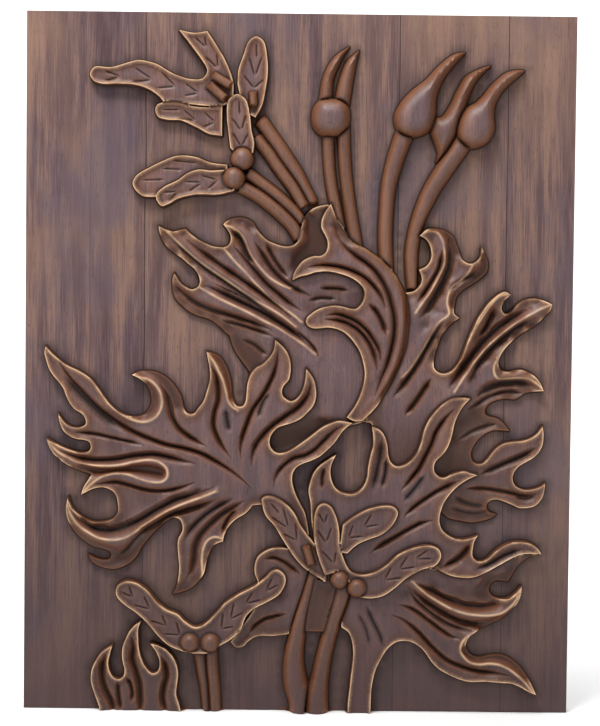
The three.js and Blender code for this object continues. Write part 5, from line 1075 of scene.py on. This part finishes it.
    rough = maths(tree, "MULTIPLY_ADD", fine, 0.2, 0.38)
    rough = maths(tree, "MULTIPLY_ADD", attribute(tree, "recess"), 0.4, rough)
    bump_height = maths(tree, "MULTIPLY_ADD", fine, 0.6, maths(tree, "MULTIPLY", broad, 0.4))
    bump = add_node(tree, "ShaderNodeBump", {"Height": bump_height, "Strength": 0.25, "Distance": 0.0006})
    surface = add_node(
        tree,
        "ShaderNodeBsdfPrincipled",
        {"Base Color": colour, "Roughness": rough, "Normal": bump.outputs[0], "Specular IOR Level": 0.4},
    )
    add_node(tree, "ShaderNodeOutputMaterial", {"Surface": surface.outputs[0]})
    return material


def panel_piece():
    points, faces, rise, looks = build_mesh()
    rise = np.minimum(rise, -cad_low.y * 1000 - GROUND)
    count = len(points)
    top = np.column_stack([points[:, 0], -GROUND - rise, points[:, 1]])

    # The rim's vertices in order, then the side walls and the back
    follows = {}
    for triangle in faces.tolist():
        for k in range(3):
            follows[(triangle[k], triangle[(k + 1) % 3])] = True
    open_edges = {a: b for a, b in follows if (b, a) not in follows}
    rim = [next(iter(open_edges))]
    while open_edges[rim[-1]] != rim[0]:
        rim.append(open_edges[rim[-1]])
    back = top[rim].copy()
    back[:, 1] = 0
    vertices = np.vstack([top, back]) / 1000
    size = len(rim)
    walls = [(rim[k], count + k, count + (k + 1) % size, rim[(k + 1) % size]) for k in range(size)]
    backing = [tuple(range(count + size - 1, count - 1, -1))]
    mesh = bpy.data.meshes.new("carved_relief")
    mesh.from_pydata(vertices.tolist(), [], faces.tolist() + walls + backing)
    mesh.validate()

    a, b, c = (top[faces[:, k]] for k in range(3))
    normal = np.cross(b - a, c - a)
    lean = 1 - np.abs(normal[:, 1]) / np.maximum(np.linalg.norm(normal, axis=1), 1e-9)
    side = np.zeros(count)
    for k in range(3):
        np.maximum.at(side, faces[:, k], np.clip(lean * 1.6 - 0.25, 0, 1))
    looks |= {"rise": np.clip(rise / 6, 0, 1), "side": side}
    for name, values in looks.items():
        layer = mesh.attributes.new(name, "FLOAT", "POINT")
        layer.data.foreach_set("value", np.concatenate([values, np.zeros(size)]))
    for polygon in mesh.polygons:
        polygon.use_smooth = polygon.index < len(faces)
    mesh.set_sharp_from_angle(angle=math.radians(SHARP_ANGLE))
    piece = bpy.data.objects.new("carved_relief", mesh)
    bpy.context.scene.collection.objects.link(piece)
    mesh.materials.append(stained_wood())
    return piece


panel = panel_piece()
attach(panel, "root")
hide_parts("carved_panel")


def add_stage():
    """A pale floor that the panel stands on, curving up behind it into a pale wall."""
    floor_z = cad_low.z - 0.0005
    profile = [(STAGE_FRONT, 0.0), (STAGE_BEND, 0.0)]
    for k in range(1, 13):
        turn = k / 12 * math.pi / 2
        y = STAGE_BEND + STAGE_BEND_RADIUS * math.sin(turn)
        profile.append((y, STAGE_BEND_RADIUS * (1 - math.cos(turn))))
    profile.append((STAGE_BEND + STAGE_BEND_RADIUS, STAGE_TOP))
    vertices = [(x, y, floor_z + z) for y, z in profile for x in (-STAGE_HALF_WIDTH, STAGE_HALF_WIDTH)]
    faces = [(2 * k, 2 * k + 1, 2 * k + 3, 2 * k + 2) for k in range(len(profile) - 1)]
    mesh = bpy.data.meshes.new("backdrop")
    mesh.from_pydata(vertices, [], faces)
    mesh.polygons.foreach_set("use_smooth", [True] * len(faces))
    material = bpy.data.materials.new("backdrop")
    material.use_nodes = True
    surface = material.node_tree.nodes["Principled BSDF"]
    surface.inputs["Base Color"].default_value = STAGE_COLOUR
    surface.inputs["Roughness"].default_value = 0.9
    mesh.materials.append(material)
    backdrop = bpy.data.objects.new("backdrop", mesh)
    bpy.context.scene.collection.objects.link(backdrop)


def add_light(name, place, target, width, height, power):
    light = bpy.data.lights.new(name, "AREA")
    light.shape = "RECTANGLE"
    light.size = width
    light.size_y = height
    light.energy = power
    holder = bpy.data.objects.new(name, light)
    holder.location = place
    holder.rotation_mode = "QUATERNION"
    holder.rotation_quaternion = (Vector(target) - Vector(place)).to_track_quat("-Z", "Y")
    bpy.context.scene.collection.objects.link(holder)


def add_world(strength):
    world = bpy.data.worlds.new("studio")
    world.use_nodes = True
    shade = world.node_tree.nodes["Background"]
    shade.inputs[0].default_value = (1, 1, 1, 1)
    shade.inputs[1].default_value = strength
    bpy.context.scene.world = world


def add_camera():
    """The photograph's own view: almost square on, from 2 m."""
    yaw, pitch, roll = CAMERA_YAW, CAMERA_PITCH, CAMERA_ROLL
    ahead = Vector((math.sin(yaw) * math.cos(pitch), math.cos(yaw) * math.cos(pitch), math.sin(pitch)))
    right = Vector((math.cos(yaw), -math.sin(yaw), 0))
    up = right.cross(ahead)
    across = right * math.cos(roll) + up * math.sin(roll)
    upward = up * math.cos(roll) - right * math.sin(roll)
    turn = Matrix((across, upward, -ahead)).transposed().to_4x4()
    data = bpy.data.cameras.new("camera")
    data.sensor_fit = "VERTICAL"
    data.sensor_height = 36
    data.lens = CAMERA_FOCAL / 726 * 36
    data.clip_end = 50
    camera = bpy.data.objects.new("camera", data)
    camera.matrix_world = Matrix.Translation(Vector(CAMERA_PLACE)) @ turn
    bpy.context.scene.collection.objects.link(camera)
    bpy.context.scene.camera = camera


add_stage()
for light_row in LIGHTS:
    add_light(*light_row)
add_world(WORLD_STRENGTH)
add_camera()
bpy.context.scene.view_settings.view_transform = "Standard"
